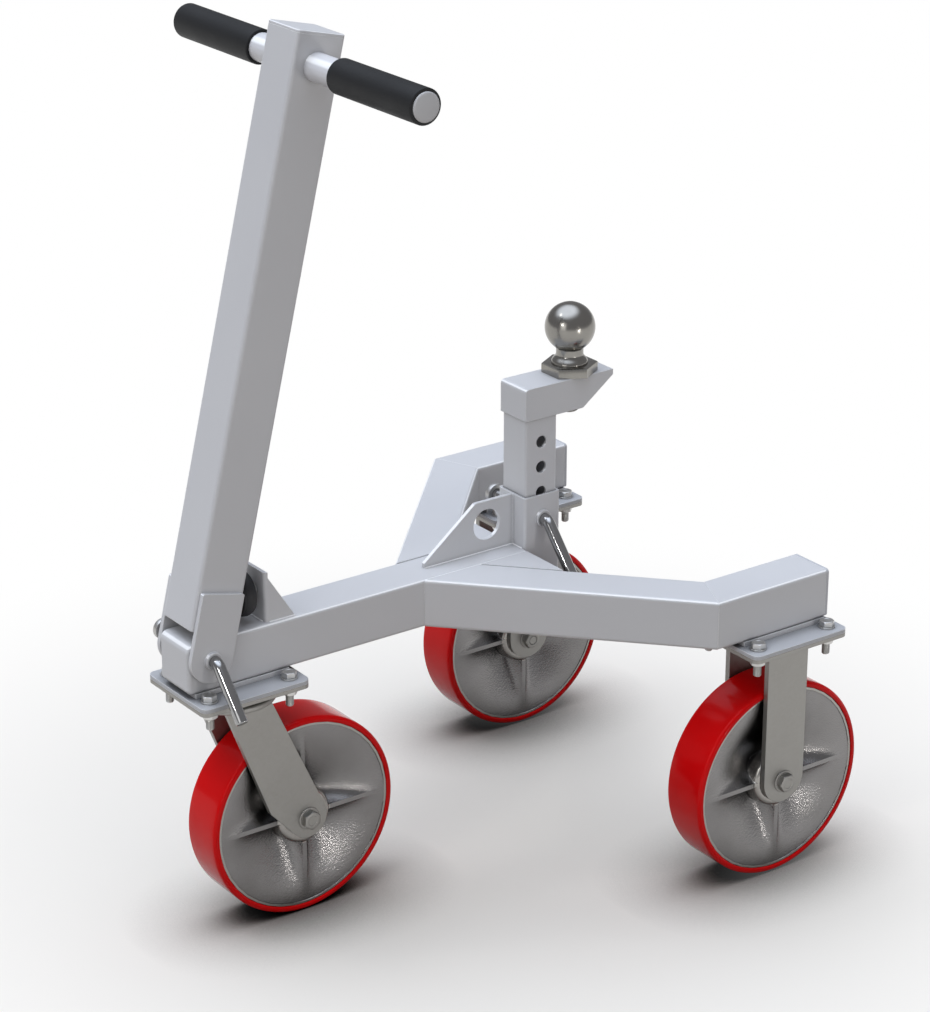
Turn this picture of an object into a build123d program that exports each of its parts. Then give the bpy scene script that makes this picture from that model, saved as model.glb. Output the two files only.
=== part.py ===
from build123d import *
import os
from math import atan2, cos, degrees, radians, sin, tan

os.makedirs("parts", exist_ok=True)

# A three-wheeled hand dolly that moves a light trailer by its coupling.
# Millimetres. +X points forward to the tiller, +Y to the left, +Z up.
# The origin is on the ground, midway along the length, on the middle plane.

# Overall layout
overall_length = 650.0
track_half = 209.2
wheel_radius = 102.5
axle_to_plate = 149.3
arm_root_ahead = 280.9
post_behind_root = 145.4
arm_angle = 46.93
tine_overhang = 54.2

# Square tube of the frame
beam_width = 50.0
beam_height = 50.0
beam_wall = 3.0
beam_corner = 3.5
beam_nose_top = 8.0
beam_nose_bottom = 5.0
beam_front_wall = 5.0
inner_corner_share = 0.35
plug_flange = 3.0
plug_depth = 14.0
plug_wall = 2.0
gusset_thickness = 8.0

# Plates between the frame and the casters
pad_thickness = 4.6
plate_length = 118.0
plate_width = 103.0
plate_thickness = 4.0
plate_corner = 7.5
plate_bolt_x = 44.0
plate_bolt_y = 36.3
plate_bolt_radius = 4.0
plate_hole_clearance = 0.4
plate_bolt_length = 30.0
plate_bolt_flats = 13.0
plate_bolt_head = 5.5
plate_nut_height = 6.8
plate_washer_radius = 8.0
plate_washer_thickness = 1.6

# Pins, both alike
pin_radius = 6.0
pin_clearance = 0.1
pin_handle_length = 61.0
pin_handle_angle = 48.4
pin_bend_radius = 11.0
pin_end_round = 1.5
pin_neck = 1.5
collar_radius = 10.5
collar_width = 6.0
collar_stand_off = 23.5
collar_end_round = 1.0
pin_tail = 1.0

# Hitch post and its socket
socket_width = 43.6
socket_wall = 2.5
socket_corner = 3.0
socket_height = 53.6
socket_boss_radius = 8.6
socket_boss_height = 3.0
post_clearance = 0.3
post_wall = 3.0
post_corner = 2.5
post_pin_height = 29.1
index_pitch = 26.5
index_above = 3
index_below = 2
index_hole_clearance = 0.25
post_top_margin = 25.0
post_foot_margin = 20.0

# Lashing fin in front of the socket
fin_thickness = 4.0
fin_length = 107.2
fin_height = 53.2
fin_toe = 4.8
fin_top_length = 45.5
fin_corner = 5.0
eye_radius = 16.0
eye_forward = 32.0
eye_height = 28.4

# Post head and tow ball
head_height = 33.0
head_half_width = 20.5
head_front_overhang = 1.5
head_top_thickness = 5.5
head_wall = 3.5
head_length = 107.5
head_foot_length = 70.5
head_front_corner = 4.0
head_rear_corner = 5.0
ball_radius = 25.0
ball_setback = 48.4
ball_height = 46.2
ball_neck_radius = 13.6
ball_collar_radius = 15.8
ball_collar_height = 8.5
ball_collar_round = 3.0
ball_flange_flats = 48.5
ball_flange_height = 9.5
ball_flange_chamfer = 0.8
ball_stud_radius = 10.0
ball_stud_length = 40.5
ball_nut_flats = 30.0
ball_nut_height = 16.0
ball_washer_radius = 16.5
ball_washer_thickness = 3.0

# Tiller
pivot_setback = 23.2
pivot_depth = 16.9
tiller_lean = 13.54
tiller_side_gap = 0.5
tiller_wall = 2.5
tiller_corner = 3.5
tiller_foot = 26.5
tiller_cap_thickness = 3.0
cheek_thickness = 5.0
cheek_width = 45.5
cheek_top = 64.5
cheek_corner = 2.0
cheek_boss_radius = 8.4
cheek_boss_height = 4.0
sleeve_wall = 3.0
bar_height = 555.4
bar_to_tiller_top = 31.3
bar_radius = 13.5
bar_wall = 2.5
bar_half_length = 193.0
grip_length = 128.0
grip_thickness = 3.0
grip_edge = 1.2
bar_plug_flange = 2.0
bar_plug_depth = 16.0

# Buffer that the tiller rests on
buffer_height = 27.6
buffer_radius = 23.0
buffer_thickness = 13.7
buffer_gap = 0.3
buffer_edge = 2.0
buffer_stud_radius = 5.0
buffer_stud_tail = 2.0
buffer_nut_flats = 17.0
buffer_nut_height = 8.4
bracket_half_width = 20.8
bracket_thickness = 3.6
bracket_fold = 4.0
bracket_height = 50.6
bracket_foot_length = 32.8

# Forks
fork_half_width = 32.0
fork_wall = 6.0
fork_bend = 7.0
fork_inner_bend_share = 0.35
rigid_leg_width = 50.0
rigid_leg_drop = 22.0
trail = 65.6
leg_top_front = 26.0
leg_top_rear = 23.0
leg_knee_forward = 42.6
leg_knee_rise = 16.5
leg_end_radius = 20.5
race_height = 5.5
race_radius = 42.0
race_bore = 30.0
swivel_gap = 0.3
swivel_disc_radius = 45.0
swivel_disc_height = 6.5
swivel_disc_round = 2.5
kingpin_radius = 8.0
kingpin_clearance = 0.05
kingpin_head_radius = 12.0
kingpin_head_height = 2.5
kingpin_nut_flats = 24.0
kingpin_nut_height = 10.0
kingpin_tail = 2.5

# Wheels and axles
tyre_width = 50.0
tyre_thickness = 6.0
tyre_round = 4.0
rim_inset = 1.5
rim_thickness = 2.5
dish_inset = 1.0
web_thickness = 7.0
rib_thickness = 5.0
rib_inset = 0.8
hub_radius = 24.0
hub_running_gap = 0.5
bearing_radius = 17.5
bearing_width = 11.0
bearing_ring = 2.4
bearing_recess = 0.8
bearing_inset = 1.0
sleeve_radius = 7.5
sleeve_clearance = 0.05
axle_radius = 5.0
axle_flats = 17.0
axle_flange_radius = 14.0
axle_flange_thickness = 2.0
axle_head_height = 5.5
axle_nut_height = 5.5

# Fixed shanks and studs in their holes
shank_clearance = 0.05

# One overrun serves every cut
overrun = 5.0

# Heights, built up from the ground
axle_z = wheel_radius
caster_plate_bottom = axle_z + axle_to_plate
caster_plate_top = caster_plate_bottom + plate_thickness
mounting_plate_top = caster_plate_top + plate_thickness
beam_bottom = mounting_plate_top + pad_thickness
beam_middle = beam_bottom + beam_height / 2
beam_top = beam_bottom + beam_height

# Stations along the length
beam_front = overall_length / 2
rear_axle_x = wheel_radius - overall_length / 2
swivel_x = beam_front - plate_length / 2
front_axle_x = swivel_x - trail
arm_root_x = rear_axle_x + arm_root_ahead
post_x = arm_root_x - post_behind_root
beam_rear = post_x + socket_width / 2
tine_rear = rear_axle_x - tine_overhang
pivot_x = beam_front - pivot_setback
pivot_z = beam_top - pivot_depth
beam_side = beam_width / 2


# General shapes

def rod_y(radius, y_start, y_end, x, z):
    """Round rod along Y."""
    middle = Location((x, (y_start + y_end) / 2, z), (90, 0, 0))
    return middle * Cylinder(radius, abs(y_end - y_start))


def ring_y(outer, inner, y_start, y_end, x, z):
    """Round ring with its axis along Y."""
    return rod_y(outer, y_start, y_end, x, z) - rod_y(inner, y_start - overrun, y_end + overrun, x, z)


def rod_z(radius, z_start, z_end, x, y):
    """Upright round rod."""
    return Pos(x, y, (z_start + z_end) / 2) * Cylinder(radius, z_end - z_start)


def hex_z(flats, z_start, z_end, x, y):
    """Upright hexagon prism, corners on the X axis."""
    section = RegularPolygon(flats / 2, 6, major_radius=False)
    return extrude(Plane((x, y, z_start)) * section, amount=z_end - z_start)


def hex_y(flats, y_start, y_end, x, z):
    """Hexagon prism along Y, corners up and down."""
    section = RegularPolygon(flats / 2, 6, major_radius=False)
    base = Plane((x, y_start, z), x_dir=(0, 0, 1), z_dir=(0, 1, 0))
    return extrude(base * section, amount=y_end - y_start)


def side_plate(points, half_thickness):
    """Flat plate with an X-Z outline, centred on the middle plane."""
    return extrude(Plane.XZ * make_face(Polyline(*points, close=True)), amount=half_thickness, both=True)


def tube_x(x_start, x_end, width, height, wall, corner):
    """Hollow square section along X, centred on the X axis."""
    outer = RectangleRounded(width, height, corner)
    inner = RectangleRounded(width - 2 * wall, height - 2 * wall, corner * inner_corner_share)
    return extrude(Plane.YZ.offset(x_start) * (outer - inner), amount=x_end - x_start)


def tube_z(z_start, z_end, width, wall, corner):
    """Upright hollow square section, centred on the Z axis."""
    outer = RectangleRounded(width, width, corner)
    inner = RectangleRounded(width - 2 * wall, width - 2 * wall, corner * inner_corner_share)
    return extrude(Plane.XY.offset(z_start) * (outer - inner), amount=z_end - z_start)


def mirrored(shape):
    """The same shape on the other side of the middle plane."""
    return mirror(shape, about=Plane.XZ)


def write(shape, node):
    """One sub-part to its own file."""
    export_step(shape, "parts/" + node + ".step")


# Main beam: square tube with a closed, rounded nose and holes for the pivot sleeve

def main_beam():
    corners = [(beam_rear, beam_bottom), (beam_front, beam_bottom), (beam_front, beam_top), (beam_rear, beam_top)]
    outline = make_face(Polyline(*corners, close=True))
    outline = fillet(outline.vertices().sort_by(Axis.X)[-2:].sort_by(Axis.Y)[-1], beam_nose_top)
    outline = fillet(outline.vertices().sort_by(Axis.Y)[:2].sort_by(Axis.X)[-1], beam_nose_bottom)
    beam = extrude(Plane.XZ * outline, amount=beam_side, both=True)
    long_edges = beam.faces().filter_by(Axis.Y).edges().filter_by(lambda edge: edge.center().X > beam_rear + beam_wall)
    beam = fillet(long_edges, beam_corner)
    cavity = extrude(
        Plane.YZ.offset(beam_rear - overrun) * RectangleRounded(
            beam_width - 2 * beam_wall, beam_height - 2 * beam_wall, beam_corner * inner_corner_share
        ),
        amount=beam_front - beam_rear + overrun - beam_front_wall,
    )
    sleeve_hole = rod_y(sleeve_outer, -beam_side - overrun, beam_side + overrun, pivot_x, pivot_z)
    return beam - Pos(0, 0, beam_middle) * cavity - sleeve_hole


sleeve_outer = pin_radius + pin_clearance + sleeve_wall


def pivot_sleeve():
    return ring_y(sleeve_outer, pin_radius + pin_clearance, -beam_side, beam_side, pivot_x, pivot_z)


# Arms and tines: each side is one arm and one tine, mitred where they meet

arm_back = (-cos(radians(arm_angle)), sin(radians(arm_angle)))
arm_out = (sin(radians(arm_angle)), cos(radians(arm_angle)))
tine_outer_y = track_half + beam_side
bend_x = arm_root_x - (tine_outer_y - beam_side) / tan(radians(arm_angle))
mitre = Plane(origin=(bend_x, tine_outer_y, beam_middle), z_dir=(arm_back[0] - 1, arm_back[1], 0))
arm_rear_x = arm_root_x - beam_width / sin(radians(arm_angle))
gusset_y = beam_side + (arm_rear_x - beam_rear) * tan(radians(arm_angle))


def left_arm():
    tube = tube_x(-overall_length, overall_length, beam_width, beam_height, beam_wall, beam_corner)
    centre = (arm_root_x - arm_out[0] * beam_side, beam_side - arm_out[1] * beam_side, beam_middle)
    tube = Location(centre, (0, 0, 180 - arm_angle)) * tube
    tube = split(tube, bisect_by=Plane(origin=(0, beam_side, 0), z_dir=(0, 1, 0)), keep=Keep.TOP)
    return split(tube, bisect_by=mitre, keep=Keep.BOTTOM)


def left_tine():
    tube = tube_x(tine_rear + plug_flange, overall_length, beam_width, beam_height, beam_wall, beam_corner)
    return split(Pos(0, track_half, beam_middle) * tube, bisect_by=mitre, keep=Keep.TOP)


def left_tine_plug():
    flange = extrude(Plane.YZ * RectangleRounded(beam_width, beam_height, beam_corner), amount=plug_flange)
    inner_width = beam_width - 2 * beam_wall
    inner_height = beam_height - 2 * beam_wall
    insert = tube_x(
        plug_flange, plug_flange + plug_depth, inner_width, inner_height, plug_wall, beam_corner * inner_corner_share
    )
    return Pos(tine_rear, track_half, beam_middle) * (flange + insert)


def left_gusset():
    corners = [(arm_rear_x, beam_side), (beam_rear, beam_side), (beam_rear, gusset_y)]
    return extrude(
        Plane.XY.offset(beam_top - gusset_thickness) * make_face(Polyline(*corners, close=True)),
        amount=gusset_thickness,
    )


# Post socket, with a boss on its left side for the pin, and the lashing fin

post_pin_z = beam_top + post_pin_height
socket_side = socket_width / 2


def post_socket():
    body = Pos(post_x, 0, 0) * tube_z(beam_bottom, beam_top + socket_height, socket_width, socket_wall, socket_corner)
    boss_start = socket_side - socket_wall / 2
    body += rod_y(socket_boss_radius, boss_start, socket_side + socket_boss_height, post_x, post_pin_z)
    reach = socket_side + socket_boss_height + overrun
    body -= rod_y(pin_radius + pin_clearance, -reach, reach, post_x, post_pin_z)
    return body


def socket_fin():
    corners = [
        (beam_rear, beam_top),
        (beam_rear + fin_length, beam_top),
        (beam_rear + fin_length, beam_top + fin_toe),
        (beam_rear + fin_top_length, beam_top + fin_height),
        (beam_rear, beam_top + fin_height),
    ]
    outline = make_face(Polyline(*corners, close=True))
    outline = fillet(outline.vertices().sort_by(Axis.Y)[-2:].sort_by(Axis.X)[-1], fin_corner)
    fin = extrude(Plane.XZ * outline, amount=fin_thickness / 2, both=True)
    return fin - rod_y(eye_radius, -fin_thickness, fin_thickness, beam_rear + eye_forward, beam_top + eye_height)


# Hitch post: square tube with a row of index holes through its left and right walls

post_width = socket_width - 2 * socket_wall - 2 * post_clearance
post_top = post_pin_z + index_above * index_pitch + post_top_margin
post_foot = post_pin_z - index_below * index_pitch - post_foot_margin


def hitch_post():
    post = Pos(post_x, 0, 0) * tube_z(post_foot, post_top, post_width, post_wall, post_corner)
    for step in range(-index_below, index_above + 1):
        hole_z = post_pin_z + step * index_pitch
        post -= rod_y(pin_radius + index_hole_clearance, -post_width, post_width, post_x, hole_z)
    return post


# Post head: pressed channel, open below and behind, that carries the ball

head_front = post_x + post_width / 2 + head_front_overhang
head_top = post_top + head_height
ball_x = post_x - ball_setback


def post_head():
    corners = [
        (head_front, post_top),
        (head_front, head_top),
        (head_front - head_length, head_top),
        (head_front - head_length, head_top - head_top_thickness),
        (head_front - head_foot_length, post_top),
    ]
    outline = make_face(Polyline(*corners, close=True))
    outline = fillet(outline.vertices().sort_by(Axis.X)[-2:].sort_by(Axis.Y)[-1], head_front_corner)
    outline = fillet(outline.vertices().sort_by(Axis.Y)[:2].sort_by(Axis.X)[0], head_rear_corner)
    head = extrude(Plane.XZ * outline, amount=head_half_width, both=True)
    cavity = Box(
        head_length, 2 * (head_half_width - head_wall), head_height, align=(Align.MAX, Align.CENTER, Align.MAX)
    )
    head -= Pos(head_front - head_wall, 0, head_top - head_top_thickness) * cavity
    reach = head_top + overrun
    return head - rod_z(ball_stud_radius + plate_hole_clearance, post_top, reach, ball_x, 0)


def tow_ball():
    flange_top = head_top + ball_flange_height
    ball_z = head_top + ball_height
    flange = hex_z(ball_flange_flats, head_top, flange_top, ball_x, 0)
    flange = chamfer(flange.edges().group_by(Axis.Z)[-1], ball_flange_chamfer)
    collar = rod_z(ball_collar_radius, flange_top, flange_top + ball_collar_height, ball_x, 0)
    collar = fillet(collar.edges().group_by(Axis.Z)[-1], ball_collar_round)
    neck = rod_z(ball_neck_radius, flange_top, ball_z, ball_x, 0)
    stud = rod_z(ball_stud_radius, head_top - ball_stud_length, head_top, ball_x, 0)
    return flange + collar + neck + Pos(ball_x, 0, ball_z) * Sphere(ball_radius) + stud


def ball_nut_and_washer():
    seat = head_top - head_top_thickness
    washer = rod_z(ball_washer_radius, seat - ball_washer_thickness, seat, ball_x, 0)
    nut_top = seat - ball_washer_thickness
    nut = hex_z(ball_nut_flats, nut_top - ball_nut_height, nut_top, ball_x, 0)
    bore = rod_z(ball_stud_radius + shank_clearance, nut_top - ball_nut_height - overrun, seat + overrun, ball_x, 0)
    return Compound(children=[washer - bore, nut - bore])


# Tiller: drawn upright about its pivot, then leaned back

tiller_place = Location((pivot_x, 0, pivot_z), (0, -tiller_lean, 0))
tiller_width = beam_width + 2 * tiller_side_gap
tiller_side = tiller_width / 2
tiller_length = bar_height + bar_to_tiller_top


def tiller_tube():
    top = tiller_length - tiller_cap_thickness
    tube = tube_z(tiller_foot, top, tiller_width, tiller_wall, tiller_corner)
    return tiller_place * (tube - rod_y(bar_radius, -tiller_width, tiller_width, 0, bar_height))


def tiller_top_cap():
    section = RectangleRounded(tiller_width, tiller_width, tiller_corner)
    cap = extrude(Plane.XY.offset(tiller_length - tiller_cap_thickness) * section, amount=tiller_cap_thickness)
    cap = fillet(cap.edges().group_by(Axis.Z)[-1], tiller_cap_thickness / 2)
    return tiller_place * cap


def cheek_plate():
    blade = Pos(0, cheek_top / 2) * Rectangle(cheek_width, cheek_top)
    blade = fillet(blade.vertices().group_by(Axis.Y)[-1], cheek_corner)
    outline = blade + Circle(cheek_width / 2)
    base = Plane(origin=(0, tiller_side + cheek_thickness, 0), x_dir=(1, 0, 0), z_dir=(0, -1, 0))
    return extrude(base * outline, amount=cheek_thickness)


def left_cheek():
    face_y = tiller_side + cheek_thickness
    cheek = cheek_plate() + rod_y(cheek_boss_radius, tiller_side, face_y + cheek_boss_height, 0, 0)
    return tiller_place * (cheek - rod_y(pin_radius + pin_clearance, 0, 2 * face_y, 0, 0))


def right_cheek():
    cheek = cheek_plate() - rod_y(pin_radius + pin_clearance, 0, tiller_width, 0, 0)
    return tiller_place * mirrored(cheek)


def handlebar():
    return tiller_place * ring_y(bar_radius, bar_radius - bar_wall, -bar_half_length, bar_half_length, 0, bar_height)


def left_grip():
    grip_start = bar_half_length - grip_length
    grip = rod_y(bar_radius + grip_thickness, grip_start, bar_half_length, 0, bar_height)
    grip = fillet(grip.edges().filter_by(GeomType.CIRCLE), grip_edge)
    return tiller_place * (grip - rod_y(bar_radius, 0, bar_half_length + overrun, 0, bar_height))


def right_grip():
    return mirrored(left_grip())


def handlebar_plugs():
    flange = rod_y(bar_radius, bar_half_length, bar_half_length + bar_plug_flange, 0, bar_height)
    flange = fillet(flange.edges().filter_by(GeomType.CIRCLE).sort_by(Axis.Y)[-1], bar_plug_flange / 2)
    insert = rod_y(bar_radius - bar_wall, bar_half_length - bar_plug_depth, bar_half_length, 0, bar_height)
    plug = tiller_place * (flange + insert)
    return Compound(children=[plug, mirrored(plug)])


# Pins: a round bar with a bent handle on the left, and a collar on its right end

def pin(start_y, bend_y, x, z):
    """Bar along Y from start_y, with the handle bent outward and down after bend_y."""
    drop = pin_handle_length * sin(radians(pin_handle_angle))
    out = pin_handle_length * cos(radians(pin_handle_angle))
    path = FilletPolyline((x, start_y, z), (x, bend_y, z), (x, bend_y + out, z - drop), radius=pin_bend_radius)
    section = Plane(origin=(x, start_y, z), z_dir=(0, 1, 0)) * Circle(pin_radius)
    bar = sweep(section, path=path)
    ends = bar.edges().filter_by(GeomType.CIRCLE).sort_by(Axis.Y)
    return fillet([ends[0], ends[-1]], pin_end_round)


def collar(seat_y, x, z):
    """Round collar on the right end of a pin."""
    ring = rod_y(collar_radius, seat_y - collar_width, seat_y, x, z)
    ring = fillet(ring.edges().filter_by(GeomType.CIRCLE), collar_end_round)
    return ring - rod_y(pin_radius, seat_y - collar_width - overrun, seat_y + overrun, x, z)


bend_reach = pin_bend_radius * tan(radians(pin_handle_angle / 2))
tiller_face = tiller_side + cheek_thickness
tiller_pin_bend = tiller_face + cheek_boss_height + pin_neck + bend_reach
tiller_collar_seat = -tiller_face - collar_stand_off
post_pin_bend = socket_side + socket_boss_height + pin_neck + bend_reach
post_collar_seat = tiller_collar_seat


# Buffer: a bonded rubber disc on a stud, held in a folded bracket on the beam

lean_back = tan(radians(tiller_lean))
buffer_z = beam_top + buffer_height
buffer_top = buffer_z + buffer_radius
buffer_front = pivot_x - (buffer_top - pivot_z) * lean_back - tiller_side / cos(radians(tiller_lean)) - buffer_gap
buffer_rear = buffer_front - buffer_thickness
bracket_front = buffer_rear - buffer_nut_height
bracket_back = bracket_front - bracket_thickness


def rod_x(radius, x_start, x_end):
    """Round rod along X at the buffer's height."""
    middle = Location(((x_start + x_end) / 2, 0, buffer_z), (0, 90, 0))
    return middle * Cylinder(radius, x_end - x_start)


def buffer_nut(x_start):
    section = RegularPolygon(buffer_nut_flats / 2, 6, major_radius=False)
    nut = extrude(Plane.YZ.offset(x_start) * section, amount=buffer_nut_height)
    bore = rod_x(buffer_stud_radius + shank_clearance, x_start - overrun, x_start + buffer_nut_height + overrun)
    return Pos(0, 0, buffer_z) * nut - bore


def rubber_buffer():
    disc = rod_x(buffer_radius, buffer_rear, buffer_front)
    return fillet(disc.edges().filter_by(GeomType.CIRCLE), buffer_edge)


def buffer_stud():
    tail = bracket_back - buffer_nut_height - buffer_stud_tail
    stud = rod_x(buffer_stud_radius, tail, buffer_rear)
    return Compound(children=[stud, buffer_nut(bracket_front), buffer_nut(bracket_back - buffer_nut_height)])


def buffer_bracket():
    """Front plate with two triangular flanges folded back along the beam."""
    top = beam_top + bracket_height
    corners = [(bracket_front - bracket_foot_length, beam_top), (bracket_front, beam_top), (bracket_front, top)]
    front = Box(
        bracket_thickness, 2 * bracket_half_width, bracket_height, align=(Align.MAX, Align.CENTER, Align.MIN)
    )
    block = side_plate(corners, bracket_half_width) + Pos(bracket_front, 0, beam_top) * front
    block = fillet(block.edges().filter_by(Axis.Z).sort_by(Axis.X)[-2:], bracket_fold)
    hollow = Box(
        bracket_foot_length, 2 * (bracket_half_width - bracket_thickness), 2 * bracket_height,
        align=(Align.MAX, Align.CENTER, Align.CENTER),
    )
    block -= Pos(bracket_back, 0, top) * hollow
    return block - rod_x(buffer_stud_radius + plate_hole_clearance, bracket_back - overrun, bracket_front + overrun)


# Plates, pads and bolts, alike at the three casters

caster_places = {"front": (swivel_x, 0), "left": (rear_axle_x, track_half), "right": (rear_axle_x, -track_half)}


def bolt_places():
    """The four bolt places of one caster plate, about its centre."""
    return [(x, y) for x in (-plate_bolt_x, plate_bolt_x) for y in (-plate_bolt_y, plate_bolt_y)]


def flat_plate(z_bottom):
    """Plate with rounded corners and four bolt holes."""
    section = RectangleRounded(plate_length, plate_width, plate_corner)
    for x, y in bolt_places():
        section -= Pos(x, y) * Circle(plate_bolt_radius + plate_hole_clearance)
    return extrude(Plane.XY.offset(z_bottom) * section, amount=plate_thickness)


def spacer_pads():
    """Packing under the tubes, as long as the plate or as the tube above it."""
    front = Pos(swivel_x, 0, mounting_plate_top) * Box(
        plate_length - 2 * plate_corner, beam_width, pad_thickness, align=(Align.CENTER, Align.CENTER, Align.MIN)
    )
    rear = Pos(tine_rear + plug_flange, track_half, mounting_plate_top) * Box(
        plate_length - 2 * plate_corner, beam_width, pad_thickness, align=(Align.MIN, Align.CENTER, Align.MIN)
    )
    return Compound(children=[front, rear, mirrored(rear)])


def plate_bolt():
    seat = mounting_plate_top + plate_washer_thickness
    head = hex_z(plate_bolt_flats, seat, seat + plate_bolt_head, 0, 0)
    return head + rod_z(plate_bolt_radius, seat - plate_bolt_length, seat, 0, 0)


def plate_washer(z_bottom):
    disc = rod_z(plate_washer_radius, z_bottom, z_bottom + plate_washer_thickness, 0, 0)
    return disc - rod_z(plate_bolt_radius + shank_clearance, z_bottom - overrun, z_bottom + overrun, 0, 0)


def plate_nut():
    top = caster_plate_bottom - plate_washer_thickness
    nut = hex_z(plate_bolt_flats, top - plate_nut_height, top, 0, 0)
    return nut - rod_z(plate_bolt_radius + shank_clearance, top - plate_nut_height - overrun, top + overrun, 0, 0)


def at_every_bolt(pieces):
    """A copy of each piece at all twelve bolts."""
    copies = []
    for centre_x, centre_y in caster_places.values():
        for x, y in bolt_places():
            copies += [Pos(centre_x + x, centre_y + y, 0) * piece for piece in pieces]
    return Compound(children=copies)


# Front caster plate: pressed down into the upper race of the swivel, and the kingpin through it

fork_crown_top = caster_plate_bottom - race_height - swivel_gap
crown_underside = fork_crown_top - swivel_disc_height


def front_caster_plate():
    race = rod_z(race_radius, caster_plate_bottom - race_height, caster_plate_bottom, 0, 0)
    race = fillet(race.edges().group_by(Axis.Z)[0], race_height / 2)
    race -= rod_z(race_bore, caster_plate_bottom - race_height - overrun, caster_plate_bottom, 0, 0)
    plate = flat_plate(caster_plate_bottom) + race
    hole = rod_z(kingpin_radius + shank_clearance, caster_plate_bottom - overrun, caster_plate_top + overrun, 0, 0)
    seat = caster_plate_top - kingpin_head_height
    recess = rod_z(kingpin_head_radius + shank_clearance, seat, caster_plate_top + overrun, 0, 0)
    return Pos(swivel_x, 0, 0) * (plate - hole - recess)


def kingpin():
    nut_top = crown_underside - swivel_gap
    nut = hex_z(kingpin_nut_flats, nut_top - kingpin_nut_height, nut_top, swivel_x, 0)
    bore = rod_z(kingpin_radius, nut_top - kingpin_nut_height - overrun, nut_top + overrun, swivel_x, 0)
    shank = rod_z(kingpin_radius, nut_top - kingpin_nut_height - kingpin_tail, caster_plate_top, swivel_x, 0)
    head = rod_z(kingpin_head_radius, caster_plate_top - kingpin_head_height, caster_plate_top, swivel_x, 0)
    return Compound(children=[shank + head, nut - bore])


# Forks: folded channels that straddle the wheels, cut to a side outline

def fork_channel(crown_top, blank):
    """Upside-down channel with bent shoulders, kept where the side outline has it."""
    foot = -overrun
    outer = Pos(0, (crown_top + foot) / 2) * Rectangle(2 * fork_half_width, crown_top - foot)
    outer = fillet(outer.vertices().group_by(Axis.Y)[-1], fork_bend)
    gap_top = crown_top - fork_wall
    inner = Pos(0, (gap_top + foot) / 2) * Rectangle(2 * (fork_half_width - fork_wall), gap_top - foot)
    inner = fillet(inner.vertices().group_by(Axis.Y)[-1], fork_bend * fork_inner_bend_share)
    return extrude(Plane.YZ * (outer - inner), amount=overall_length, both=True) & blank


def fork_blank(corners, end_radius, x, end_z):
    """Side outline of a fork with a round end, as a block wider than the fork."""
    end = Pos(x, end_z) * Circle(end_radius)
    outline = make_hull(Polyline(*corners, close=True).edges() + end.edges())
    return extrude(Plane.XZ * outline, amount=2 * fork_half_width, both=True)


def axle_hole(x):
    return rod_y(axle_radius + shank_clearance, -2 * fork_half_width, 2 * fork_half_width, x, axle_z)


def rigid_fork():
    """Fork of a rear caster, about its own wheel."""
    half = rigid_leg_width / 2
    end_z = axle_z - rigid_leg_drop + half
    corners = [(-half, caster_plate_bottom), (half, caster_plate_bottom), (0, end_z)]
    return fork_channel(caster_plate_bottom, fork_blank(corners, half, 0, end_z)) - axle_hole(0)


def swivel_fork():
    """Trailing fork of the front caster, with the lower race as a disc on its crown."""
    corners = [
        (swivel_x - leg_top_rear, fork_crown_top),
        (swivel_x + leg_top_front, fork_crown_top),
        (front_axle_x + leg_knee_forward, axle_z + leg_knee_rise),
    ]
    channel = fork_channel(fork_crown_top, fork_blank(corners, leg_end_radius, front_axle_x, axle_z))
    disc = rod_z(swivel_disc_radius, crown_underside, fork_crown_top, swivel_x, 0)
    disc = fillet(disc.edges().filter_by(GeomType.CIRCLE), swivel_disc_round)
    bore = rod_z(kingpin_radius + kingpin_clearance, crown_underside - overrun, fork_crown_top + overrun, swivel_x, 0)
    return channel + disc - bore - axle_hole(front_axle_x)


# Axles: a flanged bolt, a flanged nut and a sleeve that the bearings run on, drawn about the wheel

axle_seat = fork_half_width + axle_flange_thickness


def axle_bolt():
    flange = rod_y(axle_flange_radius, fork_half_width, axle_seat, 0, axle_z)
    head = hex_y(axle_flats, axle_seat, axle_seat + axle_head_height, 0, axle_z)
    return flange + head + rod_y(axle_radius, -axle_seat - axle_nut_height, fork_half_width, 0, axle_z)


def axle_nut():
    flange = rod_y(axle_flange_radius, -axle_seat, -fork_half_width, 0, axle_z)
    nut = hex_y(axle_flats, -axle_seat - axle_nut_height, -axle_seat, 0, axle_z)
    return flange + nut - rod_y(axle_radius + shank_clearance, -axle_seat - axle_nut_height - overrun, 0, 0, axle_z)


def axle_sleeve():
    reach = fork_half_width - fork_wall
    return ring_y(sleeve_radius, axle_radius + shank_clearance, -reach, reach, 0, axle_z)


# Wheels: a ribbed centre, a bonded tyre and two bearings, drawn about the origin with the axle along Y

rim_radius = wheel_radius - tyre_thickness
rim_half = tyre_width / 2 - rim_inset
hub_half = fork_half_width - fork_wall - hub_running_gap
hub_face = hub_half - bearing_inset


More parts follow.
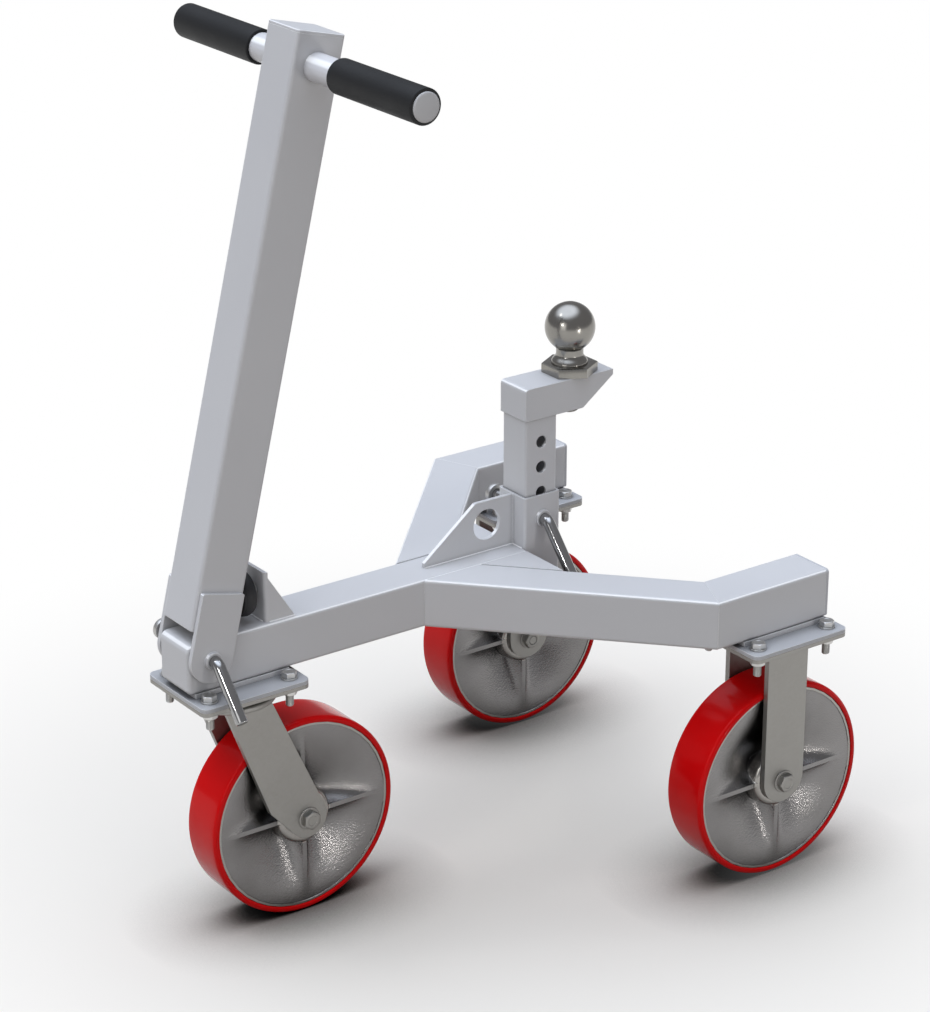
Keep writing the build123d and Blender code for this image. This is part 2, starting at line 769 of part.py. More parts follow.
def wheel_centre():
    rim_inside = rim_radius - rim_thickness
    rim = ring_y(rim_radius, rim_inside, -rim_half, rim_half, 0, 0)
    dish_half = rim_half - dish_inset
    profile = [
        (hub_radius / 2, 0), (hub_radius / 2, web_thickness / 2), (hub_radius, web_thickness / 2),
        (rim_inside, dish_half), (rim_inside + rim_thickness / 2, dish_half), (rim_inside + rim_thickness / 2, 0),
    ]
    dish = revolve(Plane.XZ * make_face(Polyline(*profile, close=True)), Axis.Z)
    web = Rot(90, 0, 0) * (dish + mirror(dish, about=Plane.XY))
    hub = rod_y(hub_radius, -hub_half, hub_half, 0, 0)
    rib_length = 2 * rim_inside + rim_thickness
    rib = Box(rib_length, 2 * (rim_half - rib_inset), rib_thickness)
    body = rim + web + hub + rib + Rot(0, 90, 0) * rib
    body -= rod_y(bearing_radius, hub_face - bearing_width, hub_half + overrun, 0, 0)
    body -= rod_y(bearing_radius, -hub_half - overrun, bearing_width - hub_face, 0, 0)
    return body - rod_y((sleeve_radius + bearing_radius) / 2, -hub_half, hub_half, 0, 0)


def tyre():
    section = Pos((rim_radius + wheel_radius) / 2, 0) * Rectangle(tyre_thickness, tyre_width)
    section = fillet(section.vertices().group_by(Axis.X)[-1], tyre_round)
    return Rot(90, 0, 0) * revolve(Plane.XZ * section, Axis.Z)


def bearing():
    """Ball bearing with recessed shields, its outer face at the origin, running inward along -Y."""
    bore = sleeve_radius + sleeve_clearance
    body = ring_y(bearing_radius, bore, -bearing_width, 0, 0, 0)
    recess = ring_y(bearing_radius - bearing_ring, bore + bearing_ring, -bearing_recess, overrun, 0, 0)
    return body - recess


def wheel_bearings():
    left = Pos(0, hub_face, 0) * bearing()
    return Compound(children=[left, mirrored(left)])


# Frame

write(main_beam(), "main_beam")
write(pivot_sleeve(), "pivot_sleeve")
arm = left_arm()
tine = left_tine()
tine_plug = left_tine_plug()
gusset = left_gusset()
write(arm, "left_arm")
write(mirrored(arm), "right_arm")
write(tine, "left_tine")
write(mirrored(tine), "right_tine")
write(Compound(children=[tine_plug, mirrored(tine_plug)]), "tine_end_plugs")
write(gusset, "left_gusset")
write(mirrored(gusset), "right_gusset")
write(post_socket(), "post_socket")
write(socket_fin(), "socket_fin")
write(buffer_bracket(), "buffer_bracket")
write(rubber_buffer(), "rubber_buffer")
write(buffer_stud(), "buffer_stud")

# Hitch

write(hitch_post(), "hitch_post")
write(post_head(), "post_head")
write(tow_ball(), "tow_ball")
write(ball_nut_and_washer(), "ball_nut_and_washer")

# Tiller

write(tiller_tube(), "tiller_tube")
write(tiller_top_cap(), "tiller_top_cap")
write(left_cheek(), "left_cheek")
write(right_cheek(), "right_cheek")
write(handlebar(), "handlebar")
write(left_grip(), "left_grip")
write(right_grip(), "right_grip")
write(handlebar_plugs(), "handlebar_plugs")

# Pins

pin_end = tiller_collar_seat - collar_width - pin_tail
write(pin(pin_end, tiller_pin_bend, pivot_x, pivot_z), "tiller_pin")
write(collar(tiller_collar_seat, pivot_x, pivot_z), "tiller_pin_collar")
write(pin(pin_end, post_pin_bend, post_x, post_pin_z), "post_pin")
write(collar(post_collar_seat, post_x, post_pin_z), "post_pin_collar")

# Plates and their fasteners

write(spacer_pads(), "spacer_pads")
for side, (centre_x, centre_y) in caster_places.items():
    write(Pos(centre_x, centre_y, 0) * flat_plate(caster_plate_top), side + "_mounting_plate")
write(front_caster_plate(), "front_caster_plate")
for side in ("left", "right"):
    centre_x, centre_y = caster_places[side]
    write(Pos(centre_x, centre_y, 0) * flat_plate(caster_plate_bottom), side + "_caster_plate")
    write(Pos(centre_x, centre_y, 0) * rigid_fork(), side + "_rigid_fork")
write(at_every_bolt([plate_bolt()]), "plate_bolts")
write(at_every_bolt([plate_washer(mounting_plate_top), plate_washer(caster_plate_bottom - plate_washer_thickness)]),
      "plate_washers")
write(at_every_bolt([plate_nut()]), "plate_nuts")
write(kingpin(), "kingpin")
write(swivel_fork(), "swivel_fork")

# Axles: the rear bolt heads face outward, and the front one is turned square to its leaning legs

left_place = Pos(rear_axle_x, track_half, 0)
leg_lean = degrees(atan2(trail, fork_crown_top - axle_z))
front_place = Pos(front_axle_x, 0, axle_z) * Rot(0, leg_lean, 0) * Pos(0, 0, -axle_z)
for name, piece in (("bolt", axle_bolt()), ("nut", axle_nut()), ("sleeve", axle_sleeve())):
    rear_piece = left_place * piece
    write(Compound(children=[rear_piece, mirrored(rear_piece)]), "rear_axle_" + name + "s")
    write(front_place * piece, "front_axle_" + name)

# Wheels

centre_piece = wheel_centre()
tyre_piece = tyre()
bearing_pieces = wheel_bearings()
wheel_places = {
    "front": Pos(front_axle_x, 0, axle_z),
    "left": Pos(rear_axle_x, track_half, axle_z),
    "right": Pos(rear_axle_x, -track_half, axle_z),
}
for side, place in wheel_places.items():
    write(place * centre_piece, side + "_wheel_centre")
    write(place * tyre_piece, side + "_tyre")
    write(place * bearing_pieces, side + "_wheel_bearings")
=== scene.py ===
from math import asin, atan2, cos, degrees, exp, pi, radians, sin, sqrt, tan

import bmesh
import bpy
from mathutils import Matrix, Vector


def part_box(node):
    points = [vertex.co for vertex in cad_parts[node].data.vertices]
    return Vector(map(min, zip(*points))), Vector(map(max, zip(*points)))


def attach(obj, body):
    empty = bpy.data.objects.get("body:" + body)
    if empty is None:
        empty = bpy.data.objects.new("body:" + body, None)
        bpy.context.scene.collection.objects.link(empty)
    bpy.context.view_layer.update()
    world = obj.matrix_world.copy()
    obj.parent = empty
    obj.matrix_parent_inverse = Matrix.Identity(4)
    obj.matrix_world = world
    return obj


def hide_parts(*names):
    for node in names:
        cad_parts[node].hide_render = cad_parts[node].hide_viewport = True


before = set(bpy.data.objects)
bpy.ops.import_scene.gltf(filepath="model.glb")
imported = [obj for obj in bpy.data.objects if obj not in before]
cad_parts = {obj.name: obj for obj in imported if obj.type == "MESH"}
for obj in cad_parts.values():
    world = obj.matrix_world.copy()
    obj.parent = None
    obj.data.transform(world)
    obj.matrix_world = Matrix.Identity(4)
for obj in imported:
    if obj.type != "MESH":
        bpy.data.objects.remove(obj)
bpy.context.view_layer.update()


# Studio: a matt white floor that runs out of sight under a bright overhead sky, as under
# a large soft box, with one soft lamp ahead of the dolly and three small ones that put the
# sparks on metal and rubber. The horizon is dark, so that polished steel has dark parts.

def linear(hex_code):
    """A colour written as sRGB hex, turned to linear light."""
    channels = [int(hex_code[i:i + 2], 16) / 255 for i in (0, 2, 4)]
    lit = [c / 12.92 if c <= 0.04045 else ((c + 0.055) / 1.055) ** 2.4 for c in channels]
    return (*lit, 1.0)


def add(tree, kind, settings=None, links=None):
    """Adds a node with its settings, and joins its inputs to outputs of other nodes. A mix has
    its share at input 0, its two numbers at 2 and 3, and its two colours at 6 and 7."""
    made = tree.nodes.new(kind)
    for name, value in (settings or {}).items():
        if isinstance(name, str) and hasattr(made, name):
            setattr(made, name, value)
        else:
            made.inputs[name].default_value = value
    for name, output in (links or {}).items():
        tree.links.new(output, made.inputs[name])
    return made


def material(name):
    """An empty node material, with its output node."""
    made = bpy.data.materials.new(name)
    made.use_nodes = True
    made.node_tree.nodes.clear()
    return made, made.node_tree, made.node_tree.nodes.new("ShaderNodeOutputMaterial")


# Matt white paint: flat, without gloss. It bounces a warm grey, looks nearly white to the eye
# and in metal, has a painted shadow that darkens it close under the wheels, and fades to plain
# white around the dolly.
bounce_tone, seen_tone = "857E76", "E6E0D6"
painted_shadow_reach = 0.10
fade_from, fade_to = 0.22, 0.85
floor_radius, floor_drop = 300.0, 0.0006

floor_white, tree, output = material("matt_white_floor")
path = add(tree, "ShaderNodeLightPath")
seen = add(tree, "ShaderNodeMath", {"operation": "MAXIMUM"},
           {0: path.outputs["Is Camera Ray"], 1: path.outputs["Is Glossy Ray"]})
seen_also = add(tree, "ShaderNodeMath", {"operation": "MAXIMUM"},
                {0: seen.outputs[0], 1: path.outputs["Is Transmission Ray"]})
tone = add(tree, "ShaderNodeMix",
           {"data_type": "RGBA", 6: linear(bounce_tone), 7: linear(seen_tone)},
           {0: seen_also.outputs[0]})
# Painted shadow: ambient occlusion darkens the floor's tone close under the wheels and frame.
under = add(tree, "ShaderNodeAmbientOcclusion", {"samples": 8, "Distance": painted_shadow_reach})
painted_contact_shadow = add(tree, "ShaderNodeMapRange", {"From Min": 0.36, "From Max": 0.98},
              {"Value": under.outputs["AO"]})
shaded = add(tree, "ShaderNodeMix", {"data_type": "RGBA", "blend_type": "MULTIPLY", 0: 1.0},
             {6: tone.outputs[2], 7: painted_contact_shadow.outputs[0]})
matt = add(tree, "ShaderNodeBsdfDiffuse", {}, {"Color": shaded.outputs[2]})
paper = add(tree, "ShaderNodeEmission", {"Color": linear("FFFFFF"), "Strength": 1.0})
place = add(tree, "ShaderNodeNewGeometry")
reach = add(tree, "ShaderNodeVectorMath", {"operation": "LENGTH"}, {0: place.outputs["Position"]})
fade = add(tree, "ShaderNodeMapRange",
           {"interpolation_type": "SMOOTHSTEP", "From Min": fade_from, "From Max": fade_to},
           {"Value": reach.outputs["Value"]})
share = add(tree, "ShaderNodeMath", {"operation": "MULTIPLY"},
            {0: fade.outputs[0], 1: seen_also.outputs[0]})
blend = add(tree, "ShaderNodeMixShader", {},
            {0: share.outputs[0], 1: matt.outputs[0], 2: paper.outputs[0]})
tree.links.new(blend.outputs[0], output.inputs["Surface"])

floor_mesh = bpy.data.meshes.new("floor")
floor_form = bmesh.new()
bmesh.ops.create_circle(floor_form, cap_ends=True, segments=96, radius=floor_radius)
floor_form.to_mesh(floor_mesh)
floor_form.free()
floor = bpy.data.objects.new("floor", floor_mesh)
floor.location = (0, 0, -floor_drop)
floor_mesh.materials.append(floor_white)
bpy.context.scene.collection.objects.link(floor)

# The sky is brightest high up, a little to the dolly's right, and dark all round below.
brightest, sky_strength = (0.10, -0.18, 0.978), 2.8
sky = bpy.data.worlds.new("overhead_sky")
sky.use_nodes = True
tree = sky.node_tree
tree.nodes.clear()
ray = add(tree, "ShaderNodeTexCoord")
height = add(tree, "ShaderNodeVectorMath", {"operation": "DOT_PRODUCT", 1: brightest},
             {0: ray.outputs["Generated"]})
dome = add(tree, "ShaderNodeValToRGB", {}, {0: height.outputs["Value"]})
dome.color_ramp.interpolation = "EASE"
dome.color_ramp.elements[0].position = 0.66
dome.color_ramp.elements[0].color = linear("606062")
dome.color_ramp.elements[1].position = 0.94
dome.color_ramp.elements[1].color = linear("E7F0FF")
sky_light = add(tree, "ShaderNodeBackground", {"Strength": sky_strength},
                {"Color": dome.outputs["Color"]})
add(tree, "ShaderNodeOutputWorld", {}, {"Surface": sky_light.outputs[0]})
bpy.context.scene.world = sky


def lamp(name, place, aim, size, power, colour):
    """A soft lamp of that size in metres and power in watts, that faces a point."""
    light = bpy.data.lights.new(name, "AREA")
    light.shape = "RECTANGLE"
    light.size, light.size_y = size
    light.energy = power
    light.color = linear(colour)[:3]
    holder = bpy.data.objects.new(name, light)
    holder.location = place
    holder.rotation_euler = (Vector(aim) - Vector(place)).to_track_quat("-Z", "Y").to_euler()
    bpy.context.scene.collection.objects.link(holder)


lamp("lamp_ahead", (2.7, 1.1, 1.3), (0.0, 0.0, 0.4), (1.3, 1.5), 8.0, "FFFFFF")
lamp("lamp_streak", (2.57, 0.78, 1.66), (0.0, 0.0, 0.2), (0.14, 0.14), 4.0, "FFFFFF")
lamp("lamp_spark", (1.4, -0.9, 2.9), (0.0, 0.0, 0.3), (0.14, 0.14), 3.0, "FFFFFF")
lamp("lamp_side", (-0.35, 3.2, 0.31), (0.0, 0.1, 0.1), (0.25, 0.2), 8.5, "FFFCF8")

camera_data = bpy.data.cameras.new("camera")
camera_data.lens = 111.37
camera_data.sensor_width = 36.0
camera = bpy.data.objects.new("camera", camera_data)
azimuth, elevation = radians(144.15), radians(22.18)
sight = Vector((-sin(azimuth) * cos(elevation), cos(azimuth) * cos(elevation), -sin(elevation)))
camera.location = (1.65076, 2.29629, 1.52242)
camera.rotation_euler = sight.to_track_quat("-Z", "Y").to_euler()
bpy.context.scene.collection.objects.link(camera)
bpy.context.scene.camera = camera
bpy.context.scene.view_settings.view_transform = "Standard"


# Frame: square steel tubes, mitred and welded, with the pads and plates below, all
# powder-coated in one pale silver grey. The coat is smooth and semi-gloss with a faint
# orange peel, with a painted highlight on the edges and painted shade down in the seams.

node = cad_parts


def assign(finish, *names):
    """Gives a material to the named nodes of the model."""
    for name in names:
        node[name].data.materials.clear()
        node[name].data.materials.append(finish)


def powder_coat(name, pale, deep, painted_shade_tone, painted_shade_reach=0.008, painted_shade_depth=0.45):
    """Powder coat, sprayed dry and baked: an even semi-gloss skin with soft clouds between two
    tones and the low waves of orange peel, 2.8 mm apart. Painted shade darkens it towards the
    shade tone in seams and holes, and a painted highlight makes it pale over corners and along
    the tops of round edges."""
    cloud_size, peel_size, peel_depth = 0.110, 0.0028, 0.00015
    corner_radius, edge_highlight_share = 0.0012, 0.85
    made, tree, output = material(name)
    spot = add(tree, "ShaderNodeTexCoord").outputs["Object"]
    clouds = add(tree, "ShaderNodeTexNoise", {"Scale": 1 / cloud_size, "Detail": 3.0},
                 {"Vector": spot})
    tint = add(tree, "ShaderNodeMix", {"data_type": "RGBA", 6: linear(deep), 7: linear(pale)},
               {0: clouds.outputs["Fac"]})
    # Painted shade: ambient occlusion darkens the coat towards the shade tone in seams and holes.
    shade_occlusion = add(tree, "ShaderNodeAmbientOcclusion", {"samples": 8, "Distance": painted_shade_reach})
    painted_seam_shade = add(tree, "ShaderNodeMapRange",
               {"From Min": 0.30, "From Max": 0.85, "To Min": painted_shade_depth, "To Max": 0.0},
               {"Value": shade_occlusion.outputs["AO"]})
    with_painted_shade = add(tree, "ShaderNodeMix", {"data_type": "RGBA", 7: linear(painted_shade_tone)},
                {0: painted_seam_shade.outputs[0], 6: tint.outputs[2]})
    face = add(tree, "ShaderNodeNewGeometry")
    rounded = add(tree, "ShaderNodeBevel", {"samples": 6, "Radius": corner_radius})
    turn = add(tree, "ShaderNodeVectorMath", {"operation": "DOT_PRODUCT"},
               {0: rounded.outputs[0], 1: face.outputs["Normal"]})
    # Painted highlight: the coat is painted pale over sharp corners, where the bevelled normal
    # turns away from the face's own.
    rim = add(tree, "ShaderNodeMapRange",
              {"From Min": 0.80, "From Max": 0.99, "To Min": edge_highlight_share, "To Max": 0.0},
              {"Value": turn.outputs["Value"]})
    # Painted highlight: the roundings along the top of a tube face neither level nor straight up,
    # and are painted palest.
    upward = add(tree, "ShaderNodeSeparateXYZ", {}, {0: face.outputs["Normal"]})
    painted_top_highlight = add(tree, "ShaderNodeValToRGB", {}, {0: upward.outputs["Z"]})
    stops = painted_top_highlight.color_ramp.elements
    for stop, level in ((0.48, "000000"), (0.60, "FFFFFF"), (0.80, "FFFFFF"), (0.90, "000000")):
        stops.new(stop).color = linear(level)
    stops.remove(stops[-1])
    stops[0].color = linear("000000")
    painted_highlight_share = add(tree, "ShaderNodeMath", {"operation": "MAXIMUM"},
               {0: rim.outputs[0], 1: painted_top_highlight.outputs["Color"]})
    with_painted_highlight = add(tree, "ShaderNodeMix", {"data_type": "RGBA", 7: linear("FFFFFF")},
                {0: painted_highlight_share.outputs[0], 6: with_painted_shade.outputs[2]})
    peel = add(tree, "ShaderNodeTexNoise", {"Scale": 1 / peel_size, "Detail": 2.0},
               {"Vector": spot})
    bump = add(tree, "ShaderNodeBump", {"Strength": 0.10, "Distance": peel_depth},
               {"Height": peel.outputs["Fac"], "Normal": rounded.outputs[0]})
    gloss = add(tree, "ShaderNodeMapRange", {"To Min": 0.30, "To Max": 0.40},
                {"Value": clouds.outputs["Fac"]})
    coat = add(tree, "ShaderNodeBsdfPrincipled", {"Specular IOR Level": 0.5, "IOR": 1.5},
               {"Base Color": with_painted_highlight.outputs[2], "Roughness": gloss.outputs[0],
                "Normal": bump.outputs[0]})
    tree.links.new(coat.outputs[0], output.inputs["Surface"])
    return made


# The coat of the tubes is one even grey. On the plates it is greyer, and its painted shade
# reaches wider and deeper, because bolts, washers and tubes stand close together there.
grey_coat = powder_coat("powder_coated_steel", "D3D3D4", "CBCBCD", "6E6F73")
plate_coat = powder_coat("powder_coated_plate", "C6C7CA", "AEB0B3", "3A3B3E", 0.022, 0.85)
assign(grey_coat, "main_beam", "left_arm", "right_arm", "left_tine", "right_tine", "left_gusset",
       "right_gusset", "post_socket", "socket_fin", "buffer_bracket", "spacer_pads")
assign(plate_coat, "front_mounting_plate", "left_mounting_plate", "right_mounting_plate")


# Weld beads: the small ripples of filler where the fin, the socket and the bracket stand
# on the beam. They are laid by hand and coated with the frame.

def finished(name, form, sharp_angle, *finishes):
    """Turns a mesh in work into a smooth one, creased above an angle, with its finishes."""
    bmesh.ops.remove_doubles(form, verts=form.verts, dist=2e-7)
    bmesh.ops.recalc_face_normals(form, faces=form.faces)
    for face in form.faces:
        face.smooth = True
    mesh = bpy.data.meshes.new(name)
    form.to_mesh(mesh)
    form.free()
    mesh.set_sharp_from_angle(angle=radians(sharp_angle))
    for finish in finishes:
        mesh.materials.append(finish)
    return mesh


def mounted(name, mesh, spot, slot, body, *stands_for):
    """Puts a mesh in its place, with its body and the nodes that it stands for. Its slot is not
    used.
    """
    made = bpy.data.objects.new(name, mesh)
    made.location = spot
    bpy.context.scene.collection.objects.link(made)
    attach(made, body)
    if stands_for:
        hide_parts(*stands_for)


def piece(name, form, finish, slot, body, *stands_for):
    """Makes a piece of one finish from a mesh in work that is drawn where it belongs."""
    crease = 38
    mounted(name, finished(name, form, crease, finish), (0, 0, 0), slot, body, *stands_for)


def bead(form, start, end, side_a, side_b, leg):
    """A bead from start to end, in the corner between faces that run off along side_a and
    side_b. It swells at each ripple, tapers at both ends and is a little flatter than round."""
    start, end, side_a, side_b = Vector(start), Vector(end), Vector(side_a), Vector(side_b)
    length = (end - start).length
    ripple, swell, taper, blunt, root, flatter = 0.0016, 0.07, 40, 0.02, 0.3, 0.18
    count = max(8, int(length / ripple * 5))
    last = None
    for step in range(count + 1):
        along = step / count
        ends = min(1, sqrt(along * taper + blunt), sqrt((1 - along) * taper + blunt))
        size = leg * (1 + swell * sin(2 * pi * along * length / ripple)) * ends
        spot = start.lerp(end, along)
        ring = [form.verts.new(spot - root * size * (side_a + side_b))]
        for part in range(7):
            angle = part / 6 * pi / 2
            bulge = size * (1.0 - flatter * sin(2 * angle))
            ring.append(form.verts.new(spot + bulge * (cos(angle) * side_a + sin(angle) * side_b)))
        if last:
            for part in range(8):
                form.faces.new((last[part - 1], last[part], ring[part], ring[part - 1]))
        else:
            form.faces.new(ring)
        last = ring
    form.faces.new(last)


beam_low, beam_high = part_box("main_beam")
fin_low, fin_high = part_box("socket_fin")
bracket_low, bracket_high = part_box("buffer_bracket")
beam_top, beam_rear = beam_high.z, beam_low.x
bead_leg = 0.0011
socket_seam, socket_edge, bracket_corner = 0.0185, 0.0218, 0.004
back, ahead, up = (-1, 0, 0), (1, 0, 0), (0, 0, 1)
welds = bmesh.new()
for side in (1, -1):
    out = (0, side, 0)
    fin_face, bracket_face = side * fin_high.y, side * bracket_high.y
    fin_foot = (fin_low.x, fin_face, beam_top)
    bead(welds, fin_foot, (fin_high.x, fin_face, beam_top), out, up, bead_leg)
    bead(welds, fin_foot, (fin_low.x, fin_face, fin_high.z), out, ahead, bead_leg)
    bead(welds, (beam_rear, fin_face, beam_top), (beam_rear, side * socket_seam, beam_top),
         ahead, up, bead_leg)
    bead(welds, (beam_rear, side * socket_edge, beam_low.z),
         (beam_rear, side * socket_edge, beam_top), back, out, bead_leg)
    bead(welds, (bracket_low.x, bracket_face, beam_top),
         (bracket_high.x - bracket_corner, bracket_face, beam_top), out, up, bead_leg)
bead(welds, (bracket_high.x, bracket_low.y + bracket_corner, beam_top),
     (bracket_high.x, bracket_high.y - bracket_corner, beam_top), ahead, up, bead_leg)
piece("weld_beads", welds, grey_coat, "frame_paint", "frame")


# Hitch: a square post with index holes and a pressed head, both coated like the frame.
# The ball is one forging with its hexagon, turned and polished, and its stud is threaded.

# The post's painted shade goes nearly black inside its holes and where it enters the socket.
post_coat = powder_coat("powder_coated_post", "D3D3D4", "CBCBCD", "18181A", 0.022, 0.95)
assign(grey_coat, "post_head")
assign(post_coat, "hitch_post")


def bright_metal(name, light, dark, roughness, scratch_depth):
    """Turned, ground or plated metal: an even gloss with soft smears, and fine scratches that
    catch the light. Real scratches are a tenth of a millimetre wide, too fine to show, so
    these are drawn 2 mm wide."""
    smear_size, scratch_size, scratch_stretch, edge_radius = 0.020, 0.0020, 14.0, 0.0004
    made, tree, output = material(name)
    spot = add(tree, "ShaderNodeTexCoord").outputs["Object"]
    smears = add(tree, "ShaderNodeTexNoise", {"Scale": 1 / smear_size, "Detail": 4.0},
                 {"Vector": spot})
    gloss = add(tree, "ShaderNodeMapRange",
                {"To Min": roughness * 0.75, "To Max": roughness * 1.3},
                {"Value": smears.outputs["Fac"]})
    grain = add(tree, "ShaderNodeMapping", {"Scale": (1.0, 1.0, scratch_stretch)},
                {"Vector": spot})
    scratches = add(tree, "ShaderNodeTexNoise", {"Scale": 1 / scratch_size, "Detail": 5.0},
                    {"Vector": grain.outputs[0]})
    rounded = add(tree, "ShaderNodeBevel", {"samples": 6, "Radius": edge_radius})
    bump = add(tree, "ShaderNodeBump", {"Strength": scratch_depth, "Distance": 0.00005},
               {"Height": scratches.outputs["Fac"], "Normal": rounded.outputs[0]})
    tint = add(tree, "ShaderNodeMix", {"data_type": "RGBA", 6: linear(light), 7: linear(dark)},
               {0: smears.outputs["Fac"]})
    steel = add(tree, "ShaderNodeBsdfPrincipled", {"Metallic": 1.0},
                {"Base Color": tint.outputs[2], "Roughness": gloss.outputs[0],
                 "Normal": bump.outputs[0]})
    tree.links.new(steel.outputs[0], output.inputs["Surface"])
    return made


def at(spot, turn=Matrix.Identity(4)):
    """A place in the model for a shape that is drawn in millimetres along its own Z axis."""
    return Matrix.Translation(spot) @ turn @ Matrix.Diagonal((0.001, 0.001, 0.001, 1))


def skin(form, rings, place, steps=72):
    """Joins rings into a skin, as a lathe turns a profile. A ring is its radius, or a function
    of the angle, and its height. The small steps in a profile are chamfers and roundings."""
    last = None
    for radius, level in rings:
        ring = []
        for step in range(steps):
            angle = 2 * pi * step / steps
            reach = radius(angle) if callable(radius) else radius
            ring.append(form.verts.new(place @ Vector((reach * cos(angle), reach * sin(angle),
                                                       level))))
        if last:
            for step in range(steps):
                form.faces.new((last[step - 1], last[step], ring[step], ring[step - 1]))
        last = ring


def six_sided(flats, inset):
    """Outline of a plain hexagon, drawn in by an inset."""
    return lambda angle: (flats / 2 - inset) / cos((angle + pi / 6) % (pi / 3) - pi / 6)


def hexagon(flats, bottom, top, both_ends):
    """Rings of a hexagon whose corners are turned off at 30 degrees above, and below too if
    asked. What is left of the end is a round face, a little narrower than the flats."""
    face = flats / 2 * 0.96
    corner = flats / 2 / cos(pi / 6)
    depth = (corner - face) / sqrt(3)

    def outline(down):
        return lambda angle: min(six_sided(flats, 0)(angle), face + down * sqrt(3))

    drops = [depth * share for share in (0, 0.1, 0.2, 0.32, 0.45, 0.6, 0.8, 1.0)]
    lower = [(outline(drop), bottom + drop) for drop in drops] if both_ends else [
        (outline(depth), bottom)]
    return lower + [(outline(drop), top - drop) for drop in reversed(drops)]


def thread(radius, pitch, bottom, top):
    """Rings of a screw thread with rounded crests, and a chamfer at its lower end."""
    depth, chamfer = pitch * 0.3, pitch * 0.8
    rings = []
    count = int((top - bottom) / pitch * 6)
    for step in range(count + 1):
        level = bottom + (top - bottom) * step / count
        ends = min(radius, radius - chamfer + (level - bottom))
        rings.append((lambda angle, level=level, ends=ends: min(
            ends, radius - depth * (1 - cos(level / pitch * 2 * pi - angle))), level))
    return rings


ball_low, ball_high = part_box("tow_ball")
head_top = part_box("post_head")[1].z
ball_x = (ball_low.x + ball_high.x) / 2
ball_radius, crown_flat = 25.0, 5.2
ball_centre = (ball_high.z - head_top) * 1000 - ball_radius
ball_crown = ball_centre + sqrt(ball_radius ** 2 - crown_flat ** 2)
flange_height, flange_flats = 9.5, 48.5
collar_foot, collar_radius, collar_top, neck_radius = 1.0, 18.2, 19.0, 13.6
stud_radius, stud_pitch, stud_length, stud_relief = 10.0, 2.5, 40.5, 1

# From below: the threaded stud, the hexagon, the bell-shaped collar, the neck and the ball.
rings = [(0, -stud_length)] + thread(stud_radius, stud_pitch, -stud_length, -1.5)
rings += [(stud_radius - stud_relief, -1.2), (stud_radius - stud_relief, 0)]
rings += [(six_sided(flange_flats, inset), level)
          for inset, level in ((0, 0), (0, flange_height - 0.8), (0.25, flange_height - 0.25),
                               (0.9, flange_height))]
rings += [(collar_radius - 0.5, flange_height + 0.1), (collar_radius, flange_height + collar_foot)]
rings += [(neck_radius + (collar_radius - neck_radius) * (1 + cos(pi * share)) / 2,
           flange_height + collar_foot + (collar_top - flange_height - collar_foot) * share)
          for share in [step / 16 for step in range(1, 17)]]
meeting = asin(neck_radius / ball_radius)
neck_top = ball_centre - ball_radius * cos(meeting)
rings += [(neck_radius, neck_top - 1.0), (neck_radius + 0.25, neck_top - 0.1)]
ball_from, ball_sweep = meeting + 0.05, pi - 0.26 - meeting
rings += [(ball_radius * sin(turn), ball_centre - ball_radius * cos(turn))
          for turn in [ball_from + ball_sweep * share / 48 for share in range(49)]]
rings += [(crown_flat - 0.8, ball_crown + 0.1), (0, ball_crown + 0.12)]
forging = bmesh.new()
skin(forging, rings, at((ball_x, 0, head_top)), 96)
# Forged steel, turned and buffed: it mirrors the studio darkly, in soft and smeared forms.
ball_steel = bright_metal("polished_forged_steel", "98958F", "868480", 0.20, 0.45)
piece("tow_ball_forging", forging, ball_steel, "ball_steel", "frame", "tow_ball")


# Ball nut and washer: a hexagon nut and a flat washer, machined from steel and plated.
# The nut is screwed up on the ball's stud, against the washer under the post's head.

# Bright zinc, plated thinly on machined steel: pale and only half mirror-like.
zinc_bright = bright_metal("bright_zinc_plate", "CFCECC", "C0BFBC", 0.36, 0.35)

nut_low, nut_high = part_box("ball_nut_and_washer")
nut_bottom = (nut_low.z - nut_high.z) * 1000
nut_bore, washer_radius, washer_thickness, ball_nut_flats = stud_radius + 0.1, 16.5, 3.0, 30.0
nut_place = at((ball_x, 0, nut_high.z))
ball_nut = bmesh.new()
skin(ball_nut, [(nut_bore, -washer_thickness), (washer_radius - 0.3, -washer_thickness),
                (washer_radius, -washer_thickness + 0.3), (washer_radius, -0.3),
                (washer_radius - 0.3, 0), (nut_bore, 0), (nut_bore, -washer_thickness)], nut_place)
skin(ball_nut, [(nut_bore, nut_bottom + 1.2), (nut_bore + 1.2, nut_bottom)]
     + hexagon(ball_nut_flats, nut_bottom, -washer_thickness, True)
     + [(nut_bore, -washer_thickness), (nut_bore, nut_bottom + 1.2)], nut_place)
piece("ball_nut", ball_nut, zinc_bright, "zinc_steel", "frame", "ball_nut_and_washer")


# Plate bolts: twelve M8 hexagon bolts with washers and nuts, zinc-plated, that clamp each
# caster under its mounting plate. The threads run well out below the nuts.

bolt_radius, bolt_pitch, bolt_flats, bolt_length, bolt_thread = 4.0, 1.25, 13.0, 30.0, 13.5
head_height, head_face, nut_height = 5.5, 6.0, 6.8
washer_bore, washer_out, washer_thick = bolt_radius + 0.1, 8.0, 1.6
bolt_x, bolt_y, caster_plate = 0.044, 0.0363, 0.004

